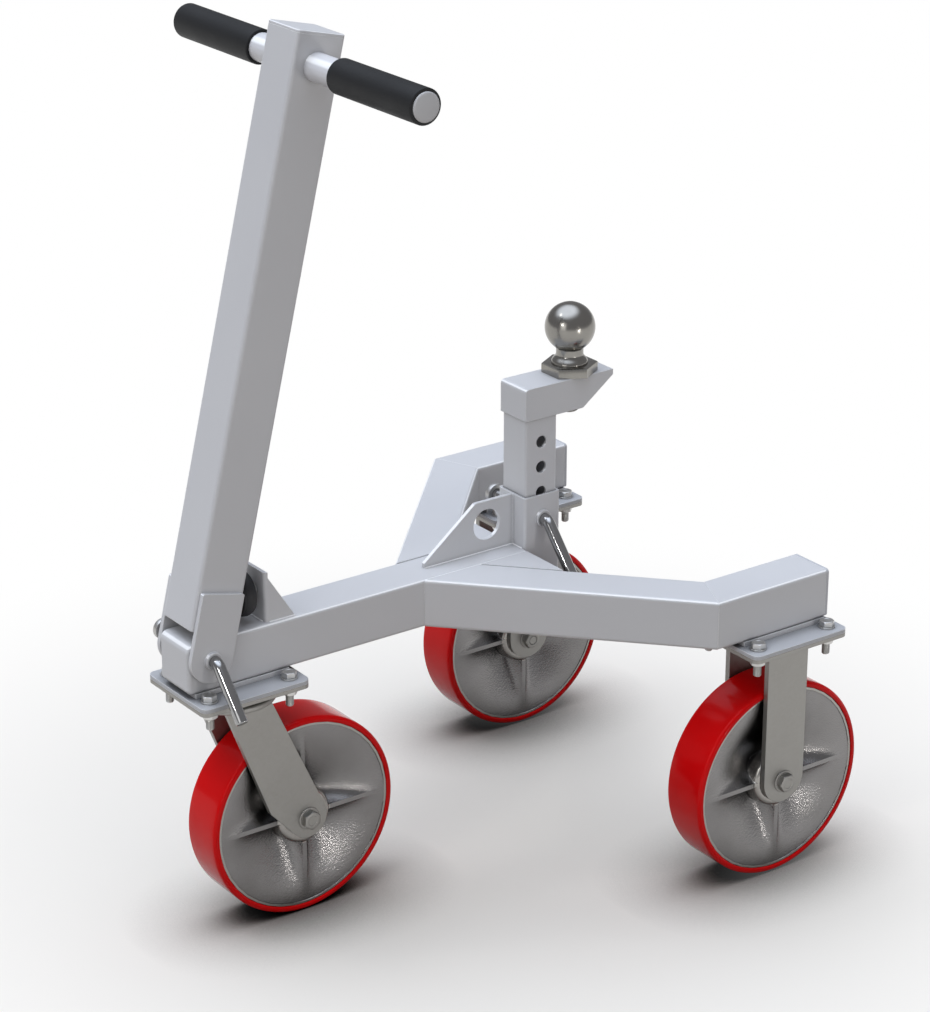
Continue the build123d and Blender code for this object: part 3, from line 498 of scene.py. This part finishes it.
bolt_rings = [(0, -bolt_length)]
bolt_rings += thread(bolt_radius, bolt_pitch, -bolt_length, -bolt_length + bolt_thread)
bolt_rings += [(bolt_radius - 0.1, -0.5), (head_face, 0.0)]
bolt_rings += hexagon(bolt_flats, 0.25, head_height, False)
bolt_rings += [(4.2, head_height), (3.9, head_height - 0.25), (0, head_height - 0.25)]
washer_rings = [(washer_bore, 0), (washer_out - 0.2, 0), (washer_out, 0.2),
                (washer_out, washer_thick - 0.25), (washer_out - 0.25, washer_thick),
                (washer_bore, washer_thick), (washer_bore, 0)]
nut_rings = [(bolt_radius + 0.05, -nut_height + 0.6), (bolt_radius + 0.7, -nut_height)]
nut_rings += hexagon(bolt_flats, -nut_height, 0, True)
nut_rings += [(bolt_radius + 0.05, 0), (bolt_radius + 0.05, -nut_height + 0.6)]

bolts, nuts, washers = bmesh.new(), bmesh.new(), bmesh.new()
for side in ("front", "left", "right"):
    plate_low, plate_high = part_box(side + "_mounting_plate")
    middle = (plate_low + plate_high) / 2
    nut_top = plate_low.z - caster_plate - washer_thick / 1000
    corners = [(x, y) for x in (-bolt_x, bolt_x) for y in (-bolt_y, bolt_y)]
    for number, (step_x, step_y) in enumerate(corners):
        x, y = middle.x + step_x, middle.y + step_y
        # A wrench leaves each bolt and nut at a turn of its own.
        turn = Matrix.Rotation(radians(17 * number + 11 * len(side)), 4, "Z")
        skin(bolts, bolt_rings, at((x, y, plate_high.z + washer_thick / 1000), turn), 48)
        for seat in (plate_high.z, nut_top):
            skin(washers, washer_rings, at((x, y, seat)), 48)
        skin(nuts, nut_rings, at((x, y, nut_top), turn), 48)
piece("m8_bolts", bolts, zinc_bright, "zinc_steel", "frame", "plate_bolts")
piece("m8_washers", washers, zinc_bright, "zinc_steel", "frame", "plate_washers")
piece("m8_nuts", nuts, zinc_bright, "zinc_steel", "frame", "plate_nuts")


# Buffer: a rubber disc, moulded on a steel stud, that the tiller rests on. It bulges a
# little at its waist. Two plated nuts hold the stud in the bracket.

def moulded(name, colour, other, roughness, grain_size, depth):
    """Moulded rubber or plastic: two close tones under a dull skin, with the grain of the
    mould. That grain is about 0.3 mm in the real thing, too fine to show, so it is coarser."""
    cloud_size = 0.030
    made, tree, output = material(name)
    spot = add(tree, "ShaderNodeTexCoord").outputs["Object"]
    clouds = add(tree, "ShaderNodeTexNoise", {"Scale": 1 / cloud_size, "Detail": 3.0},
                 {"Vector": spot})
    tint = add(tree, "ShaderNodeMix", {"data_type": "RGBA", 6: linear(colour), 7: linear(other)},
               {0: clouds.outputs["Fac"]})
    grain = add(tree, "ShaderNodeTexNoise", {"Scale": 1 / grain_size, "Detail": 3.0},
                {"Vector": spot})
    bump = add(tree, "ShaderNodeBump", {"Strength": depth, "Distance": grain_size * 0.2},
               {"Height": grain.outputs["Fac"]})
    gloss = add(tree, "ShaderNodeMapRange",
                {"To Min": roughness * 0.85, "To Max": roughness * 1.15},
                {"Value": clouds.outputs["Fac"]})
    body = add(tree, "ShaderNodeBsdfPrincipled", {"IOR": 1.5, "Specular IOR Level": 0.35},
               {"Base Color": tint.outputs[2], "Roughness": gloss.outputs[0],
                "Normal": bump.outputs[0]})
    tree.links.new(body.outputs[0], output.inputs["Surface"])
    return made


# Moulded black rubber: matt and even, with a faint dark grey sheen.
black_rubber = moulded("moulded_black_rubber", "1B1B1D", "242426", 0.50, 0.0012, 0.3)

buffer_low, buffer_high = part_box("rubber_buffer")
along_x = Matrix.Rotation(pi / 2, 4, "Y")
buffer_z = (buffer_low.z + buffer_high.z) / 2
buffer_thick = (buffer_high.x - buffer_low.x) * 1000
buffer_out = (buffer_high.z - buffer_low.z) * 500
bulge, lip_across, lip_deep = 1.5, 1.6, 2.0
rings = [(0, 0), (buffer_out - 2.4, 0), (buffer_out - 1.9, 0.4)]
rings += [(buffer_out - bulge + bulge * sin(pi * share / 12),
           1.0 + (buffer_thick - 3.2) * share / 12) for share in range(13)]
rings += [(buffer_out - 1.8 - lip_across * (1 - cos(turn)),
           buffer_thick - lip_deep + lip_deep * sin(turn))
          for turn in [pi / 2 * share / 5 for share in range(6)]]
rings += [(0, buffer_thick)]
disc = bmesh.new()
skin(disc, rings, at((buffer_low.x, 0, buffer_z), along_x), 96)
piece("buffer_disc", disc, black_rubber, "buffer_rubber", "frame", "rubber_buffer")

stud_low, stud_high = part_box("buffer_stud")
stud_long = (stud_high.x - stud_low.x) * 1000
m10_radius, m10_pitch, nut_thick, nut_flats, bracket_plate = 5.0, 1.5, 8.4, 17.0, 0.0036
stud = bmesh.new()
skin(stud, [(0, 0)] + thread(m10_radius, m10_pitch, 0, stud_long) + [(0, stud_long)],
     at((stud_low.x, 0, buffer_z), along_x), 48)
nut_turn = along_x @ Matrix.Rotation(radians(12), 4, "Z")
for nut_start in (bracket_high.x, bracket_high.x - bracket_plate - nut_thick / 1000):
    skin(stud, [(4.9, 0.4), (5.6, 0)] + hexagon(nut_flats, 0, nut_thick, True)
         + [(5.6, nut_thick), (4.9, nut_thick - 0.4), (4.9, 0.4)],
         at((nut_start, 0, buffer_z), nut_turn), 48)
piece("buffer_stud_and_nuts", stud, zinc_bright, "zinc_steel", "frame", "buffer_stud")


# Tiller: a square tube with a welded cap and two cheeks, coated like the frame. Its bar
# goes through both walls of the tube, and is coated by itself in a paler grey.

assign(grey_coat, "tiller_tube", "tiller_top_cap", "left_cheek", "right_cheek")
# Being round, the coated bar is nearly white in one line, where the light runs along it and
# where the coat's painted highlight lies along its top.
pale_coat = powder_coat("gloss_coated_handlebar", "DCDCDE", "D6D6D9", "8A8A8E")
assign(pale_coat, "handlebar")


# Grips: two sleeves of moulded rubber, pushed on the bar, with plastic plugs in its ends.
# The sleeves are matt, finely grained and rounded over at both ends.

along_y = Matrix.Rotation(-pi / 2, 4, "X")
outward = {1: along_y, -1: along_y @ Matrix.Rotation(pi, 4, "X")}
# Grip rubber is dull, deep black and deeper in its grain than the buffer. The plugs are grey
# plastic, moulded smooth: pale, with a soft sheen.
grip_rubber = moulded("moulded_grip_rubber", "0C0D0F", "141517", 0.60, 0.0011, 0.45)
plug_plastic = moulded("moulded_grey_plastic", "C2C2C3", "CBCBCC", 0.42, 0.0010, 0.15)
grip_bore, grip_edge = 13.45, 1.6
plug_rings = [(0, -16.0), (10.5, -16.0), (10.9, -15.5), (10.9, 0.0), (13.4, 0.0), (13.5, 0.3),
              (13.5, 0.9), (13.2, 1.4), (12.6, 1.8), (11.8, 1.97), (0, 2.0)]
plugs = bmesh.new()
for side, name in ((1, "left"), (-1, "right")):
    grip_low, grip_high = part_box(name + "_grip")
    grip_x, grip_z = (grip_low.x + grip_high.x) / 2, (grip_low.z + grip_high.z) / 2
    grip_out = (grip_high.z - grip_low.z) * 500
    grip_long = (grip_high.y - grip_low.y) * 1000
    start, end = (grip_low.y, grip_high.y) if side > 0 else (grip_high.y, grip_low.y)
    rings = [(grip_bore, 0.0), (grip_out - grip_edge, 0.0)]
    rings += [(grip_out - grip_edge * (1 - sin(turn)), grip_edge * (1 - cos(turn)))
              for turn in [pi / 2 * share / 6 for share in range(1, 7)]]
    rings += [(grip_out, grip_long * share) for share in (0.25, 0.5, 0.75)]
    rings += [(grip_out - grip_edge * (1 - cos(turn)), grip_long - grip_edge * (1 - sin(turn)))
              for turn in [pi / 2 * share / 6 for share in range(7)]]
    rings += [(grip_bore, grip_long), (grip_bore, 0.0)]
    sleeve = bmesh.new()
    skin(sleeve, rings, at((grip_x, start, grip_z), outward[side]), 96)
    piece(name + "_grip_sleeve", sleeve, grip_rubber, "black_plastic", "tiller", name + "_grip")
    skin(plugs, plug_rings, at((grip_x, end, grip_z), outward[side]), 96)
piece("handlebar_end_plugs", plugs, plug_plastic, "grey_plastic", "tiller", "handlebar_plugs")

# The tines' end plugs are a plastic that is moulded in the grey of the coat beside them.
tine_plastic = moulded("moulded_light_grey_plastic", "C6C7CA", "BEBFC3", 0.40, 0.0010, 0.15)
assign(tine_plastic, "tine_end_plugs")


# Pins: drawn round bar, bent at one end for a handle and chrome-plated, each with a
# turned collar that a small socket screw holds.

# Chrome on drawn bar mirrors the studio in hard light and dark streaks. The collars are
# plated over fine turning marks, which spread the light into a satin sheen.
bright_chrome = bright_metal("chrome_plate", "A8A8A8", "949494", 0.05, 0.05)
satin_ring = bright_metal("satin_plated_ring", "BDBCBA", "AEADAB", 0.42, 0.35)
pin_radius, bend_radius, end_round = 6.0, 11.0, 1.5
handle_length, handle_angle = 61.0, radians(48.4)


def bent_pin(name, body, pin_node):
    """Sweeps the bar from its collar end to the bend, round it and down the handle."""
    low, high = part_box(pin_node)
    x = (low.x + high.x) / 2
    z = high.z - pin_radius / 1000
    out = handle_length * cos(handle_angle)
    run = (high.y - low.y) * 1000 - out - pin_radius * sin(handle_angle)
    tangent = bend_radius * tan(handle_angle / 2)
    straight = handle_length - tangent
    rounding = [(end_round * (1 - cos(turn)), end_round * (1 - sin(turn)))
                for turn in [pi / 2 * share / 5 for share in range(6)]]

    # Each station is its reach and rise, the angle of the bar there, and its radius.
    path = [((inset, 0.0), 0.0, pin_radius - trim) for inset, trim in rounding]
    path += [(((run - tangent) * share / 8, 0.0), 0.0, pin_radius) for share in range(1, 9)]
    for angle in [handle_angle * share / 12 for share in range(1, 13)]:
        reach = run - tangent + bend_radius * sin(angle)
        path.append(((reach, -bend_radius * (1 - cos(angle))), angle, pin_radius))
    corner = path[-1][0]
    down_handle = [(straight * share / 4, 0.0) for share in (1, 2, 3)]
    down_handle += [(straight - inset, trim) for inset, trim in reversed(rounding)]
    for distance, trim in down_handle:
        spot = (corner[0] + distance * cos(handle_angle), corner[1] - distance * sin(handle_angle))
        path.append((spot, handle_angle, pin_radius - trim))

    form = bmesh.new()
    last = None
    for (reach, rise), angle, radius in path:
        middle = Vector((x, low.y + reach / 1000, z + rise / 1000))
        across = Vector((0, sin(angle), cos(angle)))
        ring = []
        for step in range(48):
            turn = 2 * pi * step / 48
            offset = Vector((radius * cos(turn), 0, 0)) + across * (radius * sin(turn))
            ring.append(form.verts.new(middle + offset / 1000))
        if last:
            for step in range(48):
                form.faces.new((last[step - 1], last[step], ring[step], ring[step - 1]))
        else:
            form.faces.new(ring)
        last = ring
    form.faces.new(last)
    piece(name, form, bright_chrome, "bright_chrome", body, pin_node)


def turned_collar(name, body, collar_node):
    """A ring with chamfered edges and the socket of its screw."""
    low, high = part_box(collar_node)
    centre = (low + high) / 2
    width, out = (high.y - low.y) * 1000, (high.z - low.z) * 500
    chamfer, eased = 0.9, 0.3
    half = [(pin_radius, eased), (pin_radius + eased, 0), (out - chamfer, 0), (out - 0.25, eased),
            (out, chamfer)]
    other_half = [(radius, width - level) for radius, level in reversed(half)]
    screw = [(0, out - 1.4), (1.1, out - 1.4), (1.1, out - 0.15), (1.7, out), (1.9, out - 0.4),
             (1.9, out - 2.5), (0, out - 2.5)]
    form = bmesh.new()
    skin(form, half + other_half + half[:1], at((centre.x, low.y, centre.z), along_y), 72)
    skin(form, screw, at((centre.x, centre.y, centre.z)), 24)
    piece(name, form, satin_ring, "zinc_steel", body, collar_node)


bent_pin("tiller_pin_bar", "tiller_pin", "tiller_pin")
bent_pin("post_pin_bar", "post_pin", "post_pin")
turned_collar("tiller_pin_ring", "tiller_pin", "tiller_pin_collar")
turned_collar("post_pin_ring", "post_pin", "post_pin_collar")


# Casters: plates and folded forks of steel plate, zinc-plated with a satin sheen. The
# front one turns on a ball race round its kingpin.

def satin_zinc(name, light, dark, roughness):
    """Passivated zinc on rolled plate: soft warm clouds, faint flecks 3 mm across and a satin
    sheen. The grain of the rolling is about 0.3 mm, too fine to show, so it is 1.2 mm here."""
    cloud_size, fleck_size, grain_size, edge_radius = 0.040, 0.0030, 0.0012, 0.0007
    made, tree, output = material(name)
    spot = add(tree, "ShaderNodeTexCoord").outputs["Object"]
    clouds = add(tree, "ShaderNodeTexNoise", {"Scale": 1 / cloud_size, "Detail": 4.0},
                 {"Vector": spot})
    cells = add(tree, "ShaderNodeTexVoronoi", {"Scale": 1 / fleck_size}, {"Vector": spot})
    fleck = add(tree, "ShaderNodeSeparateColor", {}, {0: cells.outputs["Color"]})
    both = add(tree, "ShaderNodeMix", {"data_type": "FLOAT", 0: 0.25},
               {2: clouds.outputs["Fac"], 3: fleck.outputs[0]})
    tint = add(tree, "ShaderNodeMix", {"data_type": "RGBA", 6: linear(dark), 7: linear(light)},
               {0: both.outputs[0]})
    gloss = add(tree, "ShaderNodeMapRange",
                {"To Min": roughness * 0.85, "To Max": roughness * 1.2},
                {"Value": both.outputs[0]})
    rounded = add(tree, "ShaderNodeBevel", {"samples": 6, "Radius": edge_radius})
    grain = add(tree, "ShaderNodeTexNoise", {"Scale": 1 / grain_size, "Detail": 3.0},
                {"Vector": spot})
    bump = add(tree, "ShaderNodeBump", {"Strength": 0.15, "Distance": 0.0001},
               {"Height": grain.outputs["Fac"], "Normal": rounded.outputs[0]})
    plate = add(tree, "ShaderNodeBsdfPrincipled", {"Metallic": 1.0},
                {"Base Color": tint.outputs[2], "Roughness": gloss.outputs[0],
                 "Normal": bump.outputs[0]})
    tree.links.new(plate.outputs[0], output.inputs["Surface"])
    return made


zinc_plate = satin_zinc("satin_zinc_plate", "9C9A96", "8E8C88", 0.45)
assign(zinc_plate, "left_rigid_fork", "right_rigid_fork", "swivel_fork", "front_caster_plate",
       "left_caster_plate", "right_caster_plate", "kingpin")
assign(zinc_bright, "pivot_sleeve", "rear_axle_sleeves", "front_axle_sleeve")


# Axles: flanged bolts and nuts that pinch the fork legs against the bearing sleeves. They
# are plated like the forks. On the front caster they are turned with its leaning legs.

flange_out, flange_thick, axle_flats, axle_head = 11.6, 1.2, 17.0, 6.3
fork_half, leg_reach = 0.032, 0.0656
shank_radius, shank_length, tail_out = 4.95, 64.5, 7.45
head_end = flange_thick + axle_head


def axle_end(form, place, turn_degrees, shank_comes_out):
    """A flanged hexagon, dished where it is a bolt's head, and open where it is a nut."""
    rings = [(4.9, 0.0), (flange_out - 0.2, 0.0), (flange_out, 0.25), (flange_out - 0.15, 0.8),
             (flange_out - 0.7, flange_thick - 0.1), (axle_flats * 0.577, flange_thick)]
    rings += hexagon(axle_flats, flange_thick, head_end, False)
    if shank_comes_out:
        rings += [(5.6, head_end), (5.0, head_end - 0.5), (4.9, 0.0)]
    else:
        rings += [(5.3, head_end), (4.9, head_end - 0.4), (0, head_end - 0.4)]
    skin(form, rings, place @ Matrix.Rotation(radians(turn_degrees), 4, "Z"), 72)


def axle(bolt, nut, hub, side, lean):
    """A bolt with its head on one side of a hub, and its nut on the other side."""
    head_place = at((hub.x, hub.y + side * fork_half, hub.z), outward[side])
    tail_place = at((hub.x, hub.y - side * fork_half, hub.z), outward[-side])
    axle_end(bolt, head_place, 90 + lean, False)
    skin(bolt, [(0, 0.5), (shank_radius, 0.5), (shank_radius, -shank_length), (0, -shank_length)],
         head_place, 48)
    skin(bolt, [(0, tail_out), (4.3, tail_out), (shank_radius, 6.8), (shank_radius, 0.0), (0, 0.0)],
         tail_place, 48)
    axle_end(nut, tail_place, 90 - lean, True)


rear_bolts, rear_nuts = bmesh.new(), bmesh.new()
for side, name in ((1, "left"), (-1, "right")):
    low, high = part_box(name + "_tyre")
    axle(rear_bolts, rear_nuts, (low + high) / 2, side, 0)
piece("rear_axle_flange_bolts", rear_bolts, zinc_plate, "zinc_steel", "frame", "rear_axle_bolts")
piece("rear_axle_flange_nuts", rear_nuts, zinc_plate, "zinc_steel", "frame", "rear_axle_nuts")

low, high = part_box("front_tyre")
hub = (low + high) / 2
leg_lean = degrees(atan2(leg_reach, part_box("swivel_fork")[1].z - hub.z))
front_bolt, front_nut = bmesh.new(), bmesh.new()
axle(front_bolt, front_nut, hub, 1, leg_lean)
piece("front_axle_flange_bolt", front_bolt, zinc_plate, "zinc_steel", "swivel", "front_axle_bolt")
piece("front_axle_flange_nut", front_nut, zinc_plate, "zinc_steel", "swivel", "front_axle_nut")


# Wheel centres: sand-cast aluminium, dished on both sides, with four ribs from hub to rim.
# The sand leaves a gritty skin and soft fillets. The rim's edge and hub are turned bright.

def cast_metal(name):
    """Sand-cast aluminium: a grey gritty skin that sparkles where the light strikes it, with
    painted shade that darkens it down in its corners. The sand is 0.3 mm, too fine to show, so
    its grains are 1.7 mm here."""
    grit_size, grit_depth, cloud_size, corner_shade_reach = 0.0017, 0.00036, 0.045, 0.025
    made, tree, output = material(name)
    spot = add(tree, "ShaderNodeTexCoord").outputs["Object"]
    grit = add(tree, "ShaderNodeTexNoise",
               {"Scale": 1 / grit_size, "Detail": 2.0, "Roughness": 0.6}, {"Vector": spot})
    clouds = add(tree, "ShaderNodeTexNoise", {"Scale": 1 / cloud_size, "Detail": 3.0},
                 {"Vector": spot})
    # Painted shade: ambient occlusion darkens the casting down in its corners, beside its ribs and
    # hub.
    corner = add(tree, "ShaderNodeAmbientOcclusion", {"samples": 8, "Distance": corner_shade_reach})
    tint = add(tree, "ShaderNodeMix",
               {"data_type": "RGBA", 6: linear("7A7876"), 7: linear("929090")},
               {0: clouds.outputs["Fac"]})
    shade = add(tree, "ShaderNodeMapRange",
                {"From Min": 0.35, "From Max": 0.95, "To Min": 0.3, "To Max": 1.0},
                {"Value": corner.outputs["AO"]})
    deep = add(tree, "ShaderNodeMix", {"data_type": "RGBA", "blend_type": "MULTIPLY", 0: 1.0},
               {6: tint.outputs[2], 7: shade.outputs[0]})
    bump = add(tree, "ShaderNodeBump", {"Strength": 1.0, "Distance": grit_depth},
               {"Height": grit.outputs["Fac"]})
    metal = add(tree, "ShaderNodeBsdfPrincipled", {"Metallic": 1.0, "Roughness": 0.23},
                {"Base Color": deep.outputs[2], "Normal": bump.outputs[0]})
    tree.links.new(metal.outputs[0], output.inputs["Surface"])
    return made


def smooth_higher(a, b, width):
    """The higher of two heights, with a fillet of about that width where they cross."""
    near = max(width - abs(a - b), 0.0) / width
    return max(a, b) + near * near * width / 4


rim_out, rim_in, rim_face, rim_chamfer = 96.5, 93.6, 23.5, 0.5
hub_flat, hub_round, hub_face, hub_slope, hub_fillet, bore = 23.5, 6.0, 25.5, 9.0, 2.5, 17.5
dish_low, dish_high = 3.0, 22.8
rib_top, rib_half, rib_fillet = 23.0, 2.3, 8.0


def casting_height(radius, offset):
    """Height of the casting's face at a radius, and at a distance from the nearest rib."""
    if radius > rim_in:
        return rim_face
    if radius <= hub_flat:
        return hub_face
    share = ((radius - hub_flat) / (rim_in - hub_flat)) ** 0.8
    dish = dish_low + (dish_high - dish_low) * share * share * (3 - 2 * share)
    from_rib = max(0.0, offset - rib_half)
    ribbed = rib_top - (rib_top - dish) * (1 - exp(-from_rib / rib_fillet))
    past = min((radius - hub_flat) / hub_round, 1.0)
    boss = hub_face - hub_round * (1 - sqrt(1 - past * past))
    boss -= max(0.0, radius - hub_flat - hub_round) * hub_slope
    return min(smooth_higher(ribbed, boss, hub_fillet), hub_face)


# The rings lie closer where the hub and the rim round over, and the spokes of the mesh lie
# closer beside each rib.
radii = [bore, 20.0, 23.5, 24.5, 25.5, 26.4, 27.2, 27.9, 28.5, 29.0, 29.3, 29.5, 29.8, 30.1, 30.5,
         31.0, 31.7, 32.8, 34.5]
radii += [37.0 + 4.0 * step for step in range(13)]
radii += [87.0, 88.5, 90.0, 91.2, 92.2, 93.0, 93.6, 93.9, 94.8, 95.6, 96.2, rim_out]
offsets = [0.0, 1.2, 2.0, 2.3, 2.5, 2.8, 3.2, 3.7, 4.3, 5.0, 5.8, 6.7, 7.7, 8.9, 10.3, 12.0, 14.0]
casting = bmesh.new()
for side in (1, -1):
    last = None
    for radius in radii:
        chamfer = rim_chamfer if radius >= rim_out else 0.0
        ring = []
        for start in [quarter * pi / 2 for quarter in range(4)]:
            stop = start + pi / 2
            before = [(start + asin(offset / radius), offset) for offset in offsets]
            after = [(stop - asin(offset / radius), offset) for offset in reversed(offsets[1:])]
            gap_from, gap_to = before[-1][0], after[0][0]
            between = [gap_from + (gap_to - gap_from) * share / 8 for share in range(1, 8)]
            spread = [(angle, radius * sin(min(angle - start, stop - angle))) for angle in between]
            for angle, offset in before + spread + after:
                level = casting_height(radius, offset) - chamfer
                ring.append(casting.verts.new((radius * cos(angle) / 1000, side * level / 1000,
                                               radius * sin(angle) / 1000)))
        if last:
            for step in range(len(ring)):
                casting.faces.new((last[step - 1], last[step], ring[step], ring[step - 1]))
        last = ring
    if side > 0:
        rim_ring = last
for step in range(len(last)):
    casting.faces.new((rim_ring[step - 1], rim_ring[step], last[step], last[step - 1]))

# The casting takes the first finish, and what the lathe has cut, at hub and rim, the second.
turned_hub = hub_flat + hub_round + 1.0
for face in casting.faces:
    middle = face.calc_center_median() * 1000
    off_axis = sqrt(middle.x ** 2 + middle.z ** 2)
    face.material_index = int(not turned_hub < off_axis < rim_in)


def on_each_wheel(kind, form, slot, node_ending, *finishes):
    """Makes one mesh and mounts it on the three wheels, round the middle of each tyre."""
    crease = 30
    mesh = finished("wheel_" + kind, form, crease, *finishes)
    for side in ("front", "left", "right"):
        low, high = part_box(side + "_tyre")
        mounted(side + "_" + kind, mesh, (low + high) / 2, slot, side + "_wheel",
                side + node_ending)


cast_aluminium = cast_metal("sand_cast_aluminium")
# Turned aluminium: the tool's cut leaves it brighter and smoother than the cast skin.
turned_aluminium = bright_metal("turned_aluminium", "A8A5A1", "989590", 0.24, 0.6)
on_each_wheel("casting", casting, "wheel_grey", "_wheel_centre", cast_aluminium, turned_aluminium)


# Tyres: polyurethane, cast on the wheel centre and turned true. It is a glossy signal red,
# with rounded shoulders and fine turning lines on its tread.

def cast_polyurethane(name):
    """Red polyurethane: a clear gloss over a deep red, with faint lines round the tread. The
    real turning lines are 0.3 mm apart, too fine to show. At 1 / 7.5 mm the wave node draws
    one line in 2.4 mm."""
    cloud_size, line_size = 0.035, 0.0075
    made, tree, output = material(name)
    spot = add(tree, "ShaderNodeTexCoord").outputs["Object"]
    clouds = add(tree, "ShaderNodeTexNoise", {"Scale": 1 / cloud_size, "Detail": 3.0},
                 {"Vector": spot})
    tint = add(tree, "ShaderNodeMix",
               {"data_type": "RGBA", 6: linear("E40B0E"), 7: linear("D4090D")},
               {0: clouds.outputs["Fac"]})
    lines = add(tree, "ShaderNodeTexWave",
                {"wave_type": "BANDS", "bands_direction": "Y", "Scale": 1 / line_size,
                 "Distortion": 0.4}, {"Vector": spot})
    bump = add(tree, "ShaderNodeBump", {"Strength": 0.05, "Distance": 0.0001},
               {"Height": lines.outputs["Fac"]})
    gloss = add(tree, "ShaderNodeMapRange", {"To Min": 0.10, "To Max": 0.17},
                {"Value": clouds.outputs["Fac"]})
    body = add(tree, "ShaderNodeBsdfPrincipled", {"IOR": 1.45, "Specular IOR Level": 0.12},
               {"Base Color": tint.outputs[2], "Roughness": gloss.outputs[0],
                "Normal": bump.outputs[0]})
    tree.links.new(body.outputs[0], output.inputs["Surface"])
    return made


red_tread = cast_polyurethane("cast_polyurethane")
tread_radius, half_width, shoulder = 102.5, 25.0, 4.0
tyre_bore, tyre_edge = rim_out - 0.05, 0.6
quarter_round = [pi / 2 * share / 8 for share in range(9)]
rings = [(tyre_bore, -half_width + tyre_edge), (rim_out + tyre_edge, -half_width)]
rings += [(tread_radius - shoulder * (1 - sin(turn)), -half_width + shoulder * (1 - cos(turn)))
          for turn in quarter_round]
rings += [(tread_radius, level) for level in (-14.0, -7.0, 0.0, 7.0, 14.0)]
rings += [(tread_radius - shoulder * (1 - cos(turn)), half_width - shoulder * (1 - sin(turn)))
          for turn in quarter_round]
rings += [(rim_out + tyre_edge, half_width), (tyre_bore, half_width - tyre_edge),
          (tyre_bore, -half_width + tyre_edge)]
band = bmesh.new()
skin(band, rings, at((0, 0, 0), along_y), 180)
on_each_wheel("band", band, "red_tread", "_tyre", red_tread)


# Bearings: two shielded ball bearings in each hub. The rings are ground bright, and the
# shields between them are pressed steel.

# Ground steel: fine, even and bright, with hardly a scratch.
bearing_steel = bright_metal("ground_bearing_steel", "B8B8B8", "A6A6A6", 0.20, 0.2)
bearing_face = 0.0245
race_rings = [(7.6, 0.4), (8.0, 0.0), (9.6, 0.0), (9.9, -0.3), (9.9, -0.8), (14.9, -0.8),
              (14.9, -0.3), (15.2, 0.0), (17.0, 0.0), (17.45, -0.4), (17.45, -11.0),
              (7.6, -11.0), (7.6, 0.4)]
races = bmesh.new()
for side in (1, -1):
    skin(races, race_rings, at((0, side * bearing_face, 0), outward[side]), 72)
on_each_wheel("races", races, "bare_steel", "_wheel_bearings", bearing_steel)
